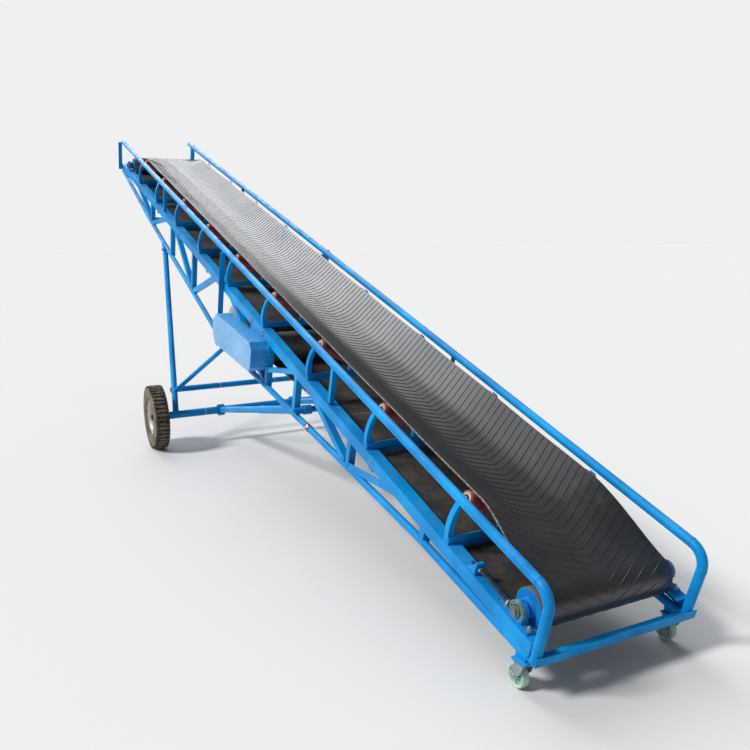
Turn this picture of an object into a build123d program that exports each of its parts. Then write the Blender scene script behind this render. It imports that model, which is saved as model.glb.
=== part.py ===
from build123d import *
import math
import os

os.makedirs("parts", exist_ok=True)

# Portable belt conveyor, millimetres, +Z up, +X uphill from tail to head, +Y on the side of the drive guard.
# Most of the machine is laid out in the bed frame: s along the bed from the tail upright, y across,
# n square to the bed with n = 0 on top of the stringers. The running gear is laid out level.

# Bed
bed_angle = 16.8
bed_height = 270
bed_length = 10000
half_width = 500
stringer_leg = 80
stringer_wall = 6
crossbar_front = -35
crossbar_height = 50
crossbar_depth = 65
crossbar_wall = 5
crossbar_reach = half_width + 10

# Handrails
rail_d = 54
rail_wall = 3
rail_y = half_width - 20
rail_n = 298
rail_end = bed_length + 40
rail_bend = 100
rail_post_leg = 36
rail_post_wall = 5
rail_post_stations = (2390, 7400)
long_post_leg = 50
long_post_station = 4875
long_post_foot = 110
head_post_station = bed_length - 10

# Truss
chord_d = 48
chord_wall = 3
chord_y = half_width - 20
chord_points = ((36, -96), (1040, -165), (4850, -617), (8210, -320), (bed_length - 10, -104))
web_leg = 50
web_wall = 5
gusset_wall = 8
post_stations = (1040, 2030, 3010, 3640, 6050, 7020, 8080)
diagonal_ends = ((1150, 1985), (2960, 2085), (4900, 3700), (5100, 5990), (6960, 6105), (7075, 8010), (9150, 8150))
knee_brace = ((3060, -40), (3612, -285))
bed_tie_leg = 28
bed_tie_idlers = (0, 1, 5, 6, 8)
chord_tie_d = 40
chord_tie_stations = (4700, 8210, bed_length - 100)

# Belt and rollers
belt_width = 800
belt_wall = 10
belt_gap = 0.3
belt_drift = 10
trough_angle = 26
trough_belt_n = 185
idler_first = 806
idler_pitch = 1000
idler_count = 9
roller_d = 89
centre_roller_length = 300
wing_roller_length = 262
roller_shaft_d = 20
roller_end_gap = 12
idler_bar = 50
idler_bar_wall = 5
arm_wall = 8
arm_width = 38
arm_web_wall = 6
arm_web_depth = 32
return_roller_d = 60
return_stations = (1700, 5500, 6600, 7700, 8600)

# Pulleys
pulley_r = 97
pulley_face = 2 * (half_width - 85)
pulley_shaft_d = 40
pulley_n = 58
tail_s = 186
head_s = bed_length - 400
bearing_y = half_width - 32
bearing_r = 54
bearing_wall = 44
bearing_base_length = 214
bearing_base_height = 14
screw_d = 18
screw_block_s = 530
screw_n = 34

# Drive
drum_s = 3830
drum_n = -205
drum_r = 125
bend_s = 4010
bend_r = 45
side_plate_wall = 8
guard_depth = 142
guard_wall = 3
motor_s = 4650
motor_n = -290
motor_r = 115
motor_fin = 24
motor_fin_wall = 4
motor_foot_gap = 5
motor_fin_count = 28
motor_length = 340
motor_y = half_width - 370
sheave_y = half_width + 60
sheave_wall = 50
drum_sheave_r = 95
motor_sheave_r = 44

# Running gear
wheel_x = 5338
track_half = 1066
tyre_r = 322
tyre_width = 145
rim_r = 168
axle_tube_d = 76
axle_tube_wall = 6
hub_clearance = 76
stub_d = 36
hub_r = 45
hub_in = 40
hub_out = 36
axle_reach = track_half - hub_in - hub_clearance
stub_past_hub = 18
stub_inside = 80
leg_d = 60
leg_wall = 4
leg_foot_y = axle_reach - 80
hinge_s = 7350
hinge_drop = 60
hinge_pin_d = 24
lug_gap = 40
leg_eye_width = 28
leg_stop = 75
cross_tube_d = 60
cross_tube_share = 0.15
stay_d = 44
stay_share = 0.12
stay_top_s = 4870
arm_y = half_width - 100
arm_pivot_s = 2950
arm_pivot_d = 48
sleeve_d = 70
sleeve_wall = 4
sleeve_length = 1150
sleeve_gap = 0.5
inner_d = sleeve_d - 2 * sleeve_wall - 2 * sleeve_gap
inner_inside = 620
eye_wall = 12
eye_gap = 9
eye_width = 60

# Casters
caster_height = 165
caster_wheel_d = 125
caster_wheel_width = 44
caster_y = half_width - 20
swivel_x = 100
caster_trail = 45
caster_plate = (100, 84)
caster_plate_wall = 6
fork_wall = 4


def bed(s, y, n):
    """World point of a bed point."""
    a = math.radians(bed_angle)
    return Vector(s * math.cos(a) - n * math.sin(a), y, bed_height + s * math.sin(a) + n * math.cos(a))


bed_place = Location((0, 0, bed_height), (0, -bed_angle, 0))
mirror_y = Plane.XZ


def both_sides(shape):
    return [shape, shape.mirror(mirror_y)]


def rod(a, b, diameter):
    """Solid round bar from a to b."""
    a = Vector(a)
    b = Vector(b)
    return extrude(Plane(origin=a, z_dir=b - a) * Circle(diameter / 2), (b - a).length)


def tube(a, b, diameter, wall):
    """Round tube from a to b."""
    a = Vector(a)
    b = Vector(b)
    ring = Circle(diameter / 2) - Circle(diameter / 2 - wall)
    return extrude(Plane(origin=a, z_dir=b - a) * ring, (b - a).length)


def angle_bar(a, b, leg, wall, back, side):
    """Angle section from a to b: its corner on the line, one leg along back and the other along side."""
    a = Vector(a)
    b = Vector(b)
    z = (b - a).normalized()
    back = Vector(back)
    side = Vector(side)
    x = (back - z * back.dot(z)).normalized()
    plane = Plane(origin=a, x_dir=x, z_dir=z)
    up = 1 if plane.y_dir.dot(side) > 0 else -1
    points = [(0, 0), (leg, 0), (leg, up * wall), (wall, up * wall), (wall, up * leg), (0, up * leg)]
    return extrude(plane * make_face(Polyline(*points, close=True)), (b - a).length)


def block(low, high):
    """Box between two corners."""
    size = [h - l for l, h in zip(low, high)]
    centre = [(h + l) / 2 for l, h in zip(low, high)]
    return Pos(*centre) * Box(*size)


def side_plate(points, y_low, y_high):
    """Plate in the s-n plane between two y values."""
    plane = Plane(origin=(0, y_low, 0), x_dir=(1, 0, 0), z_dir=(0, -1, 0))
    face = plane * make_face(Polyline(*points, close=True))
    return extrude(face, y_high - y_low, dir=(0, 1, 0))


def largest(shape):
    return max(shape.solids(), key=lambda solid: solid.volume)


def chord_n(s):
    """Height of the chord's centre line at s."""
    for (s0, n0), (s1, n1) in zip(chord_points, chord_points[1:]):
        if s <= s1:
            return n0 + (s - s0) * (n1 - n0) / (s1 - s0)
    return chord_points[-1][1]


def signed_tangent(first, second):
    """Direction and end points of the belt line that runs from one roller to the next.

    Each roller is (s, n, r), with r positive where the roller lies to the left of the travel."""
    ds = second[0] - first[0]
    dn = second[1] - first[1]
    length = math.hypot(ds, dn)
    angle = math.atan2(dn, ds) - math.asin((second[2] - first[2]) / length)
    left = (-math.sin(angle), math.cos(angle))
    start = (first[0] - first[2] * left[0], first[1] - first[2] * left[1])
    end = (second[0] - second[2] * left[0], second[1] - second[2] * left[1])
    return start, end


def arc_round(roller, start, end):
    """Arc on a roller from start to end, turning left for a positive radius."""
    turn = 1 if roller[2] > 0 else -1
    a0 = math.atan2(start[1] - roller[1], start[0] - roller[0])
    a1 = math.atan2(end[1] - roller[1], end[0] - roller[0])
    while turn * (a1 - a0) <= 0:
        a1 += turn * 2 * math.pi
    middle = (a0 + a1) / 2
    r = abs(roller[2])
    mid = (roller[0] + r * math.cos(middle), roller[1] + r * math.sin(middle))
    return ThreePointArc(start, mid, end)


# Frame

def stringer():
    start = rail_d / 2 + 0.3
    inner = half_width - stringer_leg
    web = block((start, half_width - stringer_wall, -stringer_leg), (bed_length, half_width, 0))
    flange = block((start, inner, -stringer_wall), (bed_length, half_width, 0))
    slot_centre = (tail_s + 20, bearing_y, -stringer_wall / 2)
    slot = Pos(*slot_centre) * extrude(SlotOverall(260, 16), stringer_wall, both=True)
    return web + flange - slot


def crossbar():
    back = crossbar_front + crossbar_depth
    low = -stringer_leg - crossbar_wall
    front = block((crossbar_front, -crossbar_reach, low),
                  (crossbar_front + crossbar_wall, crossbar_reach, low + crossbar_height))
    foot = block((crossbar_front, -crossbar_reach, low), (back, crossbar_reach, -stringer_leg))
    return front + foot


def chord_solid(diameter):
    """The chord as a solid bar, for the tube's outside, its bore and for coping what meets it."""
    plane = Plane(origin=(chord_points[0][0], chord_y, chord_points[0][1]),
                  z_dir=(chord_points[1][0] - chord_points[0][0], 0, chord_points[1][1] - chord_points[0][1]))
    path = Polyline(*[(s, chord_y, n) for s, n in chord_points])
    return sweep(plane * Circle(diameter / 2), path=path, transition=Transition.RIGHT)


chord_outside = chord_solid(chord_d + 2 * belt_gap)
rail_outside_radius = rail_d / 2 + belt_gap


stringer_web = block((0, half_width - stringer_wall - belt_gap, -stringer_leg - belt_gap),
                     (bed_length, half_width + belt_gap, 0))


def chord():
    """Tube closed by a plate at each end and coped where it runs up against the stringer."""
    open_part = block((chord_points[0][0] + chord_wall, 0, -2 * bed_height - half_width),
                      (chord_points[-1][0] - chord_wall, 2 * half_width, 0))
    bore = chord_solid(chord_d - 2 * chord_wall) & open_part
    return largest(chord_solid(chord_d) - bore - stringer_web)


def web_posts():
    """Angle posts from under the flange to the chord."""
    posts = []
    for s in post_stations:
        bar = angle_bar((s - web_leg / 2, half_width - stringer_wall, -stringer_wall),
                        (s - web_leg / 2, half_width - stringer_wall, chord_n(s)),
                        web_leg, web_wall, (1, 0, 0), (0, -1, 0))
        posts.append(largest(bar - chord_outside))
    return posts


def web_diagonals():
    """Angle diagonals, each from (stringer s, chord s), their inward legs on the tail side, and the knee brace."""
    bars = []
    y = half_width - stringer_wall
    slab = block((0, 0, -stringer_wall), (bed_length, half_width, 100))
    for top_s, low_s in diagonal_ends:
        lean = 1 if top_s > low_s else -1
        top = Vector(top_s + 40 * lean, y, 0)
        low = Vector(low_s, y, chord_n(low_s))
        along = (low - top).normalized()
        if lean == 1:
            shift = Vector(along.Z, 0, -along.X) * web_leg
            top = top + shift - along * web_leg
            low = low + shift
        bar = angle_bar(top, low, web_leg, web_wall, (1, 0, 0), (0, -1, 0))
        bars.append(largest(bar - chord_outside - slab))
    (high_s, high_n), (low_s, low_n) = knee_brace
    bars.append(angle_bar((high_s, y, high_n), (low_s, y, low_n), web_leg * 0.8, web_wall, (0, 0, -1), (0, -1, 0)))
    return bars


def bed_ties():
    """Angles across under the flanges, each below an idler crossbar."""
    reach = half_width - stringer_wall
    stations = [idler_first + i * idler_pitch - idler_bar / 2 for i in bed_tie_idlers]
    return [angle_bar((s, -reach, -stringer_wall), (s, reach, -stringer_wall),
                      bed_tie_leg, web_wall, (1, 0, 0), (0, 0, -1)) for s in stations]


def chord_ties():
    """Tubes across between the chords."""
    reach = chord_y - chord_d / 2 - belt_gap
    ties = []
    for s in chord_tie_stations:
        ties.append(tube((s, -reach, chord_n(s)), (s, reach, chord_n(s)), chord_tie_d, chord_wall))
    return ties


def handrail():
    """Rail tube, bend and upright in one length."""
    foot = -stringer_leg
    path = FilletPolyline((0, rail_y, foot), (0, rail_y, rail_n), (rail_end, rail_y, rail_n), radius=rail_bend)
    start = Plane(origin=(0, rail_y, foot), z_dir=(0, 0, 1))
    outside = sweep(start * Circle(rail_d / 2), path=path)
    bore = sweep(start * Circle(rail_d / 2 - rail_wall), path=path)
    return outside - bore


def rail_posts():
    """Short posts from flange to rail, the long post down to the chord, and the head post."""
    top = rail_n
    rail_bar = rod((-50, rail_y, rail_n), (rail_end + 50, rail_y, rail_n), 2 * rail_outside_radius)
    posts = []
    for s in rail_post_stations:
        bar = angle_bar((s, rail_y + rail_post_leg / 2 - 8, 0), (s, rail_y + rail_post_leg / 2 - 8, top),
                        rail_post_leg, rail_post_wall, (1, 0, 0), (0, -1, 0))
        posts.append(largest(bar - rail_bar))
    low = chord_n(long_post_station) - chord_d / 2
    long_bar = angle_bar((long_post_station, half_width, low), (long_post_station, half_width, top),
                         long_post_leg, rail_post_wall, (1, 0, 0), (0, 1, 0))
    gusset_y = half_width
    gusset = side_plate(((long_post_station, -stringer_wall), (long_post_station, low),
                         (long_post_station + long_post_foot, low)), gusset_y, gusset_y + rail_post_wall)
    posts.append(largest(long_bar + gusset - rail_bar - chord_outside))
    head_bar = angle_bar((head_post_station, half_width, -stringer_leg), (head_post_station, half_width, top),
                         long_post_leg, rail_post_wall, (1, 0, 0), (0, 1, 0))
    posts.append(largest(head_bar - rail_bar))
    return posts


# Idlers

trough = math.radians(trough_angle)
roller_r = roller_d / 2
centre_axis_n = trough_belt_n - roller_r - belt_gap
wing_start_y = centre_roller_length / 2 + roller_end_gap + roller_r * math.sin(trough)
wing_start_n = trough_belt_n + roller_end_gap * math.tan(trough) - (roller_r + belt_gap) * math.cos(trough)
wing_end_y = wing_start_y + wing_roller_length * math.cos(trough)
wing_end_n = wing_start_n + wing_roller_length * math.sin(trough)
arm_seat_y = wing_end_y + 14 * math.cos(trough)
arm_seat_n = wing_end_n + 14 * math.sin(trough)


def idler_stations():
    return [idler_first + i * idler_pitch for i in range(idler_count)]


def idler_bars():
    """Angle crossbars on the stringer flanges, each with two uprights that carry the centre roller."""
    reach = half_width - 5
    bars = []
    for s in idler_stations():
        bar = angle_bar((s - idler_bar / 2, -reach, 0), (s - idler_bar / 2, reach, 0),
                        idler_bar, idler_bar_wall, (1, 0, 0), (0, 0, 1))
        for side in (-1, 1):
            y = side * (centre_roller_length / 2 + roller_end_gap / 2)
            upright = block((s - idler_bar / 2, y - 3, idler_bar_wall),
                            (s + idler_bar / 2 - 8, y + 3, centre_axis_n + 14))
            bar = bar + upright
        bars.append(bar)
    return bars


def idler_arms():
    """Curved angle arms from the crossbar's foot up to the wing roller's outer end."""
    arms = []
    outer = (half_width - 12, idler_bar_wall)
    seat = (arm_seat_y + 6, arm_seat_n + 12)
    bulge = ((outer[0] + seat[0]) / 2 + 30, (outer[1] + seat[1]) / 2 + 10)
    line = ThreePointArc(outer, bulge, seat)
    strip = trace(line, arm_wall)
    foot_in = (outer[0] - arm_web_depth, outer[1])
    middle_in = (bulge[0] - arm_web_depth * 0.8, bulge[1])
    seat_in = (seat[0] - arm_wall, seat[1] - arm_wall)
    inner_line = ThreePointArc(foot_in, middle_in, seat_in)
    web = make_face([line, Line(seat, seat_in), inner_line, Line(foot_in, outer)])
    for s in idler_stations():
        plane = Plane(origin=(s - arm_width / 2, 0, 0), x_dir=(0, 1, 0), z_dir=(1, 0, 0))
        arm = extrude(plane * strip, arm_width) + extrude(plane * web, arm_web_wall)
        bar_wall = block((s - arm_width, 0, 0), (s + arm_width, half_width, idler_bar_wall)) \
            + block((s - idler_bar / 2, 0, 0), (s - idler_bar / 2 + idler_bar_wall, half_width, idler_bar))
        arms.append(largest(arm - bar_wall))
    return arms


def roller(a, b, diameter, shaft_d, shaft_out):
    """Roller tube closed at its ends, on a shaft that stands out at both ends."""
    a = Vector(a)
    b = Vector(b)
    along = (b - a).normalized()
    body = rod(a, b, diameter)
    return body + rod(a - along * shaft_out, b + along * shaft_out, shaft_d)


def centre_rollers():
    half = centre_roller_length / 2
    return [roller((s, -half, centre_axis_n), (s, half, centre_axis_n), roller_d, roller_shaft_d, 2)
            for s in idler_stations()]


def wing_rollers():
    return [roller((s, wing_start_y, wing_start_n), (s, wing_end_y, wing_end_n), roller_d, roller_shaft_d, 6)
            for s in idler_stations()]


# Belt, pulleys and return rollers

belt_mid = belt_gap + belt_wall / 2
return_mid_n = pulley_n - pulley_r - belt_mid
return_roller_n = return_mid_n - belt_mid - return_roller_d / 2
bend_n = return_mid_n - belt_mid - bend_r
top_mid_n = pulley_n + pulley_r + belt_mid


def belt_return():
    """The belt round the tail pulley, back under the bed, round the drive drum and up round the head."""
    rollers = (
        (tail_s, pulley_n, pulley_r + belt_mid),
        (return_stations[0], return_roller_n, -(return_roller_d / 2 + belt_mid)),
        (drum_s, drum_n, drum_r + belt_mid),
        (bend_s, bend_n, -(bend_r + belt_mid)),
        (head_s, pulley_n, pulley_r + belt_mid),
    )
    lines = []
    here = (tail_s, top_mid_n)
    for first, second in zip(rollers, rollers[1:]):
        start, end = signed_tangent(first, second)
        lines.append(arc_round(first, here, start))
        lines.append(Line(start, end))
        here = end
    lines.append(arc_round(rollers[-1], here, (head_s, top_mid_n)))
    plane = Plane(origin=(0, 0, 0), x_dir=(1, 0, 0), z_dir=(0, -1, 0))
    strip = Sketch() + [trace(line, belt_wall) for line in lines]
    return Pos(0, -belt_drift, 0) * extrude(plane * strip, belt_width / 2, both=True)


def belt_section(s, angle, centre_n):
    """Belt cross-section at s with its wings raised by angle, the belt having drifted to one side."""
    a = math.radians(angle)
    flat = centre_roller_length / 2
    bend = belt_wall * math.tan(a / 2)
    edges = []
    for drift in (-belt_drift, belt_drift):
        wing = belt_width / 2 + drift - flat
        low = (flat + wing * math.cos(a), centre_n + wing * math.sin(a))
        edges.append((low, (low[0] - belt_wall * math.sin(a), low[1] + belt_wall * math.cos(a))))
    (left_low, left_top), (right_low, right_top) = edges
    points = [(-flat, centre_n), (flat, centre_n), left_low, left_top, (flat - bend, centre_n + belt_wall),
              (-flat + bend, centre_n + belt_wall), (-right_top[0], right_top[1]), (-right_low[0], right_low[1])]
    plane = Plane(origin=(s, 0, 0), x_dir=(0, 1, 0), z_dir=(1, 0, 0))
    return plane * make_face(Polyline(*points, close=True))


def belt_top():
    """Carrying run: flat on the pulleys, troughed between the first and the last idler."""
    flat_n = top_mid_n - belt_wall / 2
    first = idler_first - roller_d
    last = idler_stations()[-1] + roller_d
    tail = loft([belt_section(tail_s, 0.5, flat_n), belt_section(first, trough_angle, trough_belt_n)], ruled=True)
    middle = extrude(belt_section(first, trough_angle, trough_belt_n), last - first)
    head = loft([belt_section(last, trough_angle, trough_belt_n), belt_section(head_s, 0.5, flat_n)], ruled=True)
    return tail + middle + head


def pulley(s, face, shaft_out):
    body = rod((s, -face / 2, pulley_n), (s, face / 2, pulley_n), 2 * pulley_r)
    return body + rod((s, -shaft_out, pulley_n), (s, shaft_out, pulley_n), pulley_shaft_d)


def bearing(s):
    """Pillow block on the stringer flange."""
    half = bearing_base_length / 2
    base = block((s - half, bearing_y - bearing_wall / 2, 0), (s + half, bearing_y + bearing_wall / 2,
                                                                bearing_base_height))
    house = rod((s, bearing_y - bearing_wall / 2, pulley_n), (s, bearing_y + bearing_wall / 2, pulley_n),
                2 * bearing_r)
    low = block((s - bearing_r, bearing_y - bearing_wall / 2, bearing_base_height / 2),
                (s + bearing_r, bearing_y + bearing_wall / 2, pulley_n / 2 + 12))
    bore = rod((s, bearing_y - 100, pulley_n), (s, bearing_y + 100, pulley_n), pulley_shaft_d + 2 * belt_gap)
    house = house - block((s - 200, 0, -100), (s + 200, half_width, bearing_base_height / 2))
    return base + house + low - bore


def take_up():
    """Adjusting screw from the bearing to its block, with a nut on each side of the block and a gusset behind."""
    start = tail_s + bearing_r + belt_gap
    screw = rod((start, bearing_y, screw_n), (screw_block_s + 60, bearing_y, screw_n), screw_d)
    seat = block((screw_block_s - 8, bearing_y - 28, 0), (screw_block_s + 8, bearing_y + 28, 70))
    gusset = side_plate(((screw_block_s, 0), (screw_block_s + 80, 0), (screw_block_s, 66)),
                        bearing_y + 20, bearing_y + 26)
    across = Plane(origin=(0, bearing_y, screw_n), x_dir=(0, 1, 0), z_dir=(1, 0, 0))
    nuts = [extrude(across.offset(s) * RegularPolygon(screw_d * 0.85, 6), 14)
            for s in (screw_block_s - 22, screw_block_s + 8)]
    return screw + seat + gusset + nuts[0] + nuts[1]


def return_rollers():
    half = belt_width / 2 + 25
    reach = half_width - stringer_wall - 8 - belt_gap
    return [roller((s, -half, return_roller_n), (s, half, return_roller_n), return_roller_d, roller_shaft_d,
                   reach - half) for s in return_stations]


def roller_hangers():
    """Plates inside the stringers that carry the return rollers."""
    outer = half_width - stringer_wall
    plates = []
    for s in return_stations:
        plates.append(block((s - 25, outer - 8, return_roller_n - 25), (s + 25, outer, -stringer_wall)))
    return plates


# Drive

plate_y = half_width - stringer_wall


def drive_plates():
    """Side plates that hang from the stringers and hold the drum and the bend roller."""
    low = drum_n - 75
    outline = ((drum_s - 95, -stringer_wall), (bend_s + 75, -stringer_wall), (bend_s + 75, bend_n - 40),
               (drum_s + 80, low), (drum_s - 80, low), (drum_s - 95, low + 60))
    plate = side_plate(outline, plate_y - side_plate_wall, plate_y)
    beyond = 2 * half_width
    bores = rod((drum_s, 0, drum_n), (drum_s, beyond, drum_n), pulley_shaft_d + 2 * belt_gap) \
        + rod((bend_s, 0, bend_n), (bend_s, beyond, bend_n), roller_shaft_d + 2 * belt_gap)
    return plate - bores


def drive_drum():
    half = pulley_face / 2
    body = rod((drum_s, -half, drum_n), (drum_s, half, drum_n), 2 * drum_r)
    shaft = rod((drum_s, -plate_y - 10, drum_n), (drum_s, sheave_y - sheave_wall / 2, drum_n), pulley_shaft_d)
    return body + shaft


def bend_roller():
    half = belt_width / 2 + 25
    return roller((bend_s, -half, bend_n), (bend_s, half, bend_n), 2 * bend_r, roller_shaft_d, plate_y - half)


def sheaves():
    """Two grooved wheels inside the guard, and the belts round them as one plain loop."""
    pieces = []
    for s, n, r, bore in ((drum_s, drum_n, drum_sheave_r, 0), (motor_s, motor_n, motor_sheave_r, 0)):
        pieces.append(rod((s, sheave_y - sheave_wall / 2, n), (s, sheave_y + sheave_wall / 2, n), 2 * r))
    return pieces


guard_corners = (
    # sheave, s from its centre, n from its centre
    ("motor", -10, -220), ("motor", -200, -180), ("drum", -150, -135), ("drum", -190, -85), ("drum", -190, 75),
    ("drum", -130, 121), ("motor", -10, 85), ("motor", 95, -20), ("motor", 65, -150),
)


def guard_outline(inset):
    """Outline of the guard, following both sheaves."""
    centres = {"motor": (motor_s, motor_n), "drum": (drum_s, drum_n)}
    points = [(centres[sheave][0] + ds, centres[sheave][1] + dn) for sheave, ds, dn in guard_corners]
    face = make_face(Polyline(*points, close=True))
    if inset:
        face = offset(face, -inset, kind=Kind.INTERSECTION)
    return face


def drive_guard():
    """Open-backed sheet guard over the sheaves."""
    y0 = half_width - stringer_wall + belt_gap
    plane = Plane(origin=(0, y0, 0), x_dir=(1, 0, 0), z_dir=(0, -1, 0))
    outside = extrude(plane * guard_outline(0), guard_depth, dir=(0, 1, 0))
    inside = extrude(plane * guard_outline(guard_wall), guard_depth - guard_wall, dir=(0, 1, 0))
    return outside - inside


def motor():
    """Ribbed electric motor, its shaft towards the guard."""
    y1 = motor_y + motor_length
    barrel = rod((motor_s, motor_y, motor_n), (motor_s, y1, motor_n), 2 * motor_r)
    fin = block((-motor_fin_wall / 2, motor_y + 6, 0), (motor_fin_wall / 2, y1 - 30, motor_r + motor_fin - 3))
    for i in range(motor_fin_count):
        barrel = barrel + Pos(motor_s, 0, motor_n) * Rot(0, 360 / motor_fin_count * i, 0) * fin
    shaft = rod((motor_s, y1, motor_n), (motor_s, sheave_y - sheave_wall / 2, motor_n), 28)
    bell = rod((motor_s, y1 - 16, motor_n), (motor_s, y1, motor_n), 2 * (motor_r + motor_fin))
    cowl = rod((motor_s, motor_y - 60, motor_n), (motor_s, motor_y, motor_n), 2 * (motor_r + motor_fin))
    cowl = fillet(cowl.edges().filter_by(GeomType.CIRCLE).sort_by(Axis.Y)[0], 18)
    foot_n = motor_n - motor_r - motor_fin - motor_foot_gap
    feet = block((motor_s - 95, motor_y + 60, foot_n), (motor_s + 95, y1 - 60, motor_n - motor_r * 0.8))
    box = block((motor_s - 50, motor_y + 90, motor_n + motor_r * 0.8),
                (motor_s + 50, motor_y + 210, motor_n + motor_r + motor_fin + 22))
    return barrel + shaft + bell + cowl + feet + box


def motor_mount():
    """Plate under the motor on two angles that stand on the chords' cross beams."""
    foot_n = motor_n - motor_r - motor_fin - motor_foot_gap
    plate = block((motor_s - 130, motor_y - 30, foot_n - 10), (motor_s + 130, motor_y + motor_length, foot_n))
    pieces = plate
    for s in (motor_s - 125, motor_s + 95):
        beam_n = chord_n(s + 15) + chord_d / 2 + 2
        reach = chord_y + 20
        beam = block((s, -reach, beam_n), (s + 30, reach, beam_n + 30))
        for y in (motor_y, motor_y + motor_length - 40):
            pieces = pieces + block((s, y, beam_n + 30), (s + 30, y + 8, foot_n - 10))
        pieces = pieces + beam
    return pieces


# Running gear, level

hinge = bed(hinge_s, 0, chord_n(hinge_s) - hinge_drop)
axle = Vector(wheel_x, 0, tyre_r)
tail_chord_slope = (chord_points[2][1] - chord_points[1][1]) / (chord_points[2][0] - chord_points[1][0])
arm_pivot_rise = (chord_d / 2 + arm_pivot_d / 2 + belt_gap) / math.cos(math.atan(tail_chord_slope))
arm_pivot_n = chord_n(arm_pivot_s) + arm_pivot_rise
arm_pivot = bed(arm_pivot_s, 0, arm_pivot_n)


def on_leg(share, side):
    """Point on a leg's centre line, from foot to hinge."""
    foot = Vector(wheel_x, side * leg_foot_y, tyre_r)
    top = Vector(hinge.X, side * chord_y, hinge.Z)
    return foot + (top - foot) * share


def legs():
    pieces = []
    for side in (-1, 1):
        foot = on_leg(0, side)
        top = on_leg(1, side)
        along = (top - foot).normalized()
        leg = tube(foot, top - along * leg_stop, leg_d, leg_wall)
        beam = rod((wheel_x, -2000, tyre_r), (wheel_x, 2000, tyre_r), axle_tube_d + 2 * belt_gap)
        leg = largest(leg - beam)
        eye = rod((top.X, top.Y - leg_eye_width / 2, top.Z), (top.X, top.Y + leg_eye_width / 2, top.Z), 60)
        neck = rod(top - along * (leg_stop + 20), top - along * 10, 20)
        cap = rod(top - along * (leg_stop + leg_wall), top - along * leg_stop, leg_d)
        lug = (eye + neck + cap) - rod((top.X, top.Y - 50, top.Z), (top.X, top.Y + 50, top.Z), hinge_pin_d + 1)
        pieces.append(leg + lug)
    return pieces


def hinge_lugs():
    """Two plates and a pin under each chord, on which a leg hangs."""
    n = chord_n(hinge_s)
    pin_n = n - hinge_drop
    outline = ((hinge_s - 70, n), (hinge_s + 70, n), (hinge_s + hinge_pin_d, pin_n - hinge_pin_d),
               (hinge_s - hinge_pin_d, pin_n - hinge_pin_d))
    pin_half = lug_gap / 2 + gusset_wall + 6
    lug = rod((hinge_s, chord_y - pin_half, pin_n), (hinge_s, chord_y + pin_half, pin_n), hinge_pin_d)
    for y in (chord_y - lug_gap / 2 - gusset_wall, chord_y + lug_gap / 2):
        plate = side_plate(outline, y, y + gusset_wall) - chord_outside
        lug = lug + min(plate.solids(), key=lambda solid: solid.center().Z)
    return both_sides(lug)


def axle_beam():
    """Axle tube with a capped stub for a wheel at each end."""
    beam = tube((wheel_x, -axle_reach, tyre_r), (wheel_x, axle_reach, tyre_r), axle_tube_d, axle_tube_wall)
    stub_reach = track_half + hub_out + stub_past_hub
    for side in (-1, 1):
        stub = rod((wheel_x, side * (axle_reach - stub_inside), tyre_r), (wheel_x, side * stub_reach, tyre_r), stub_d)
        cap = rod((wheel_x, side * (axle_reach - 2 * axle_tube_wall), tyre_r),
                  (wheel_x, side * axle_reach, tyre_r), axle_tube_d)
        beam = beam + stub + cap
    return beam


def cross_tube_end(side):
    """End of the cross tube's centre line, under the leg."""
    centre = on_leg(cross_tube_share, side)
    along = (on_leg(1, 1) - on_leg(0, 1)).normalized()
    drop = Vector(along.Z, 0, -along.X).normalized() * (leg_d / 2 + cross_tube_d / 2 + belt_gap)
    return centre + drop + Vector(0, side * leg_d / 2, 0)


def cross_tube():
    return tube(cross_tube_end(-1), cross_tube_end(1), cross_tube_d, leg_wall)


def stays():
    pieces = []
    for side in (-1, 1):
        low = on_leg(stay_share, side)
        high = bed(stay_top_s, side * chord_y, chord_n(stay_top_s) - chord_d / 2 - stay_d / 2 - 6)
        along = (high - low).normalized()
        bar = rod(low + along * 10, high, stay_d)
        leg = rod(on_leg(-0.05, side), on_leg(0.6, side), leg_d + 2 * belt_gap)
        cross = rod(cross_tube_end(-1), cross_tube_end(1), cross_tube_d + 2 * belt_gap)
        pieces.append(largest(bar - leg - cross))
    return pieces


arm_along = (Vector(axle.X, 0, axle.Z) - Vector(arm_pivot.X, 0, arm_pivot.Z)).normalized()
arm_span = (Vector(axle.X, 0, axle.Z) - Vector(arm_pivot.X, 0, arm_pivot.Z)).length


def arm_point(distance, side):
    """Point on a push arm's centre line at a distance from its pivot."""
    return Vector(arm_pivot.X, side * arm_y, arm_pivot.Z) + arm_along * distance


def arm_sleeves():
    pieces = []
    for side in (-1, 1):
        p = arm_point(0, side)
        eye = rod((p.X, p.Y - eye_width / 2, p.Z), (p.X, p.Y + eye_width / 2, p.Z), arm_pivot_d + 2 * eye_wall)
        sleeve = tube(arm_point(arm_pivot_d / 2 + 4, side), arm_point(sleeve_length, side), sleeve_d, sleeve_wall)
        bore = rod((p.X, p.Y - 100, p.Z), (p.X, p.Y + 100, p.Z), arm_pivot_d + 1.4)
        pieces.append(eye + sleeve - bore)
    return pieces


def arm_tubes():
    """Inner tubes that slide in the sleeves, each with an eye round the axle beam."""
    pieces = []
    for side in (-1, 1):
        p = Vector(axle.X, side * arm_y, axle.Z)
        r = axle_tube_d / 2 + eye_gap + eye_wall
        eye = rod((p.X, p.Y - eye_width / 2, p.Z), (p.X, p.Y + eye_width / 2, p.Z), 2 * r)
        bar = tube(arm_point(sleeve_length - inner_inside, side), arm_point(arm_span - r + 6, side), inner_d, 4)
        bore = rod((p.X, p.Y - 100, p.Z), (p.X, p.Y + 100, p.Z), axle_tube_d + 2 * eye_gap)
        pieces.append(eye + bar - bore)
    return pieces


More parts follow.
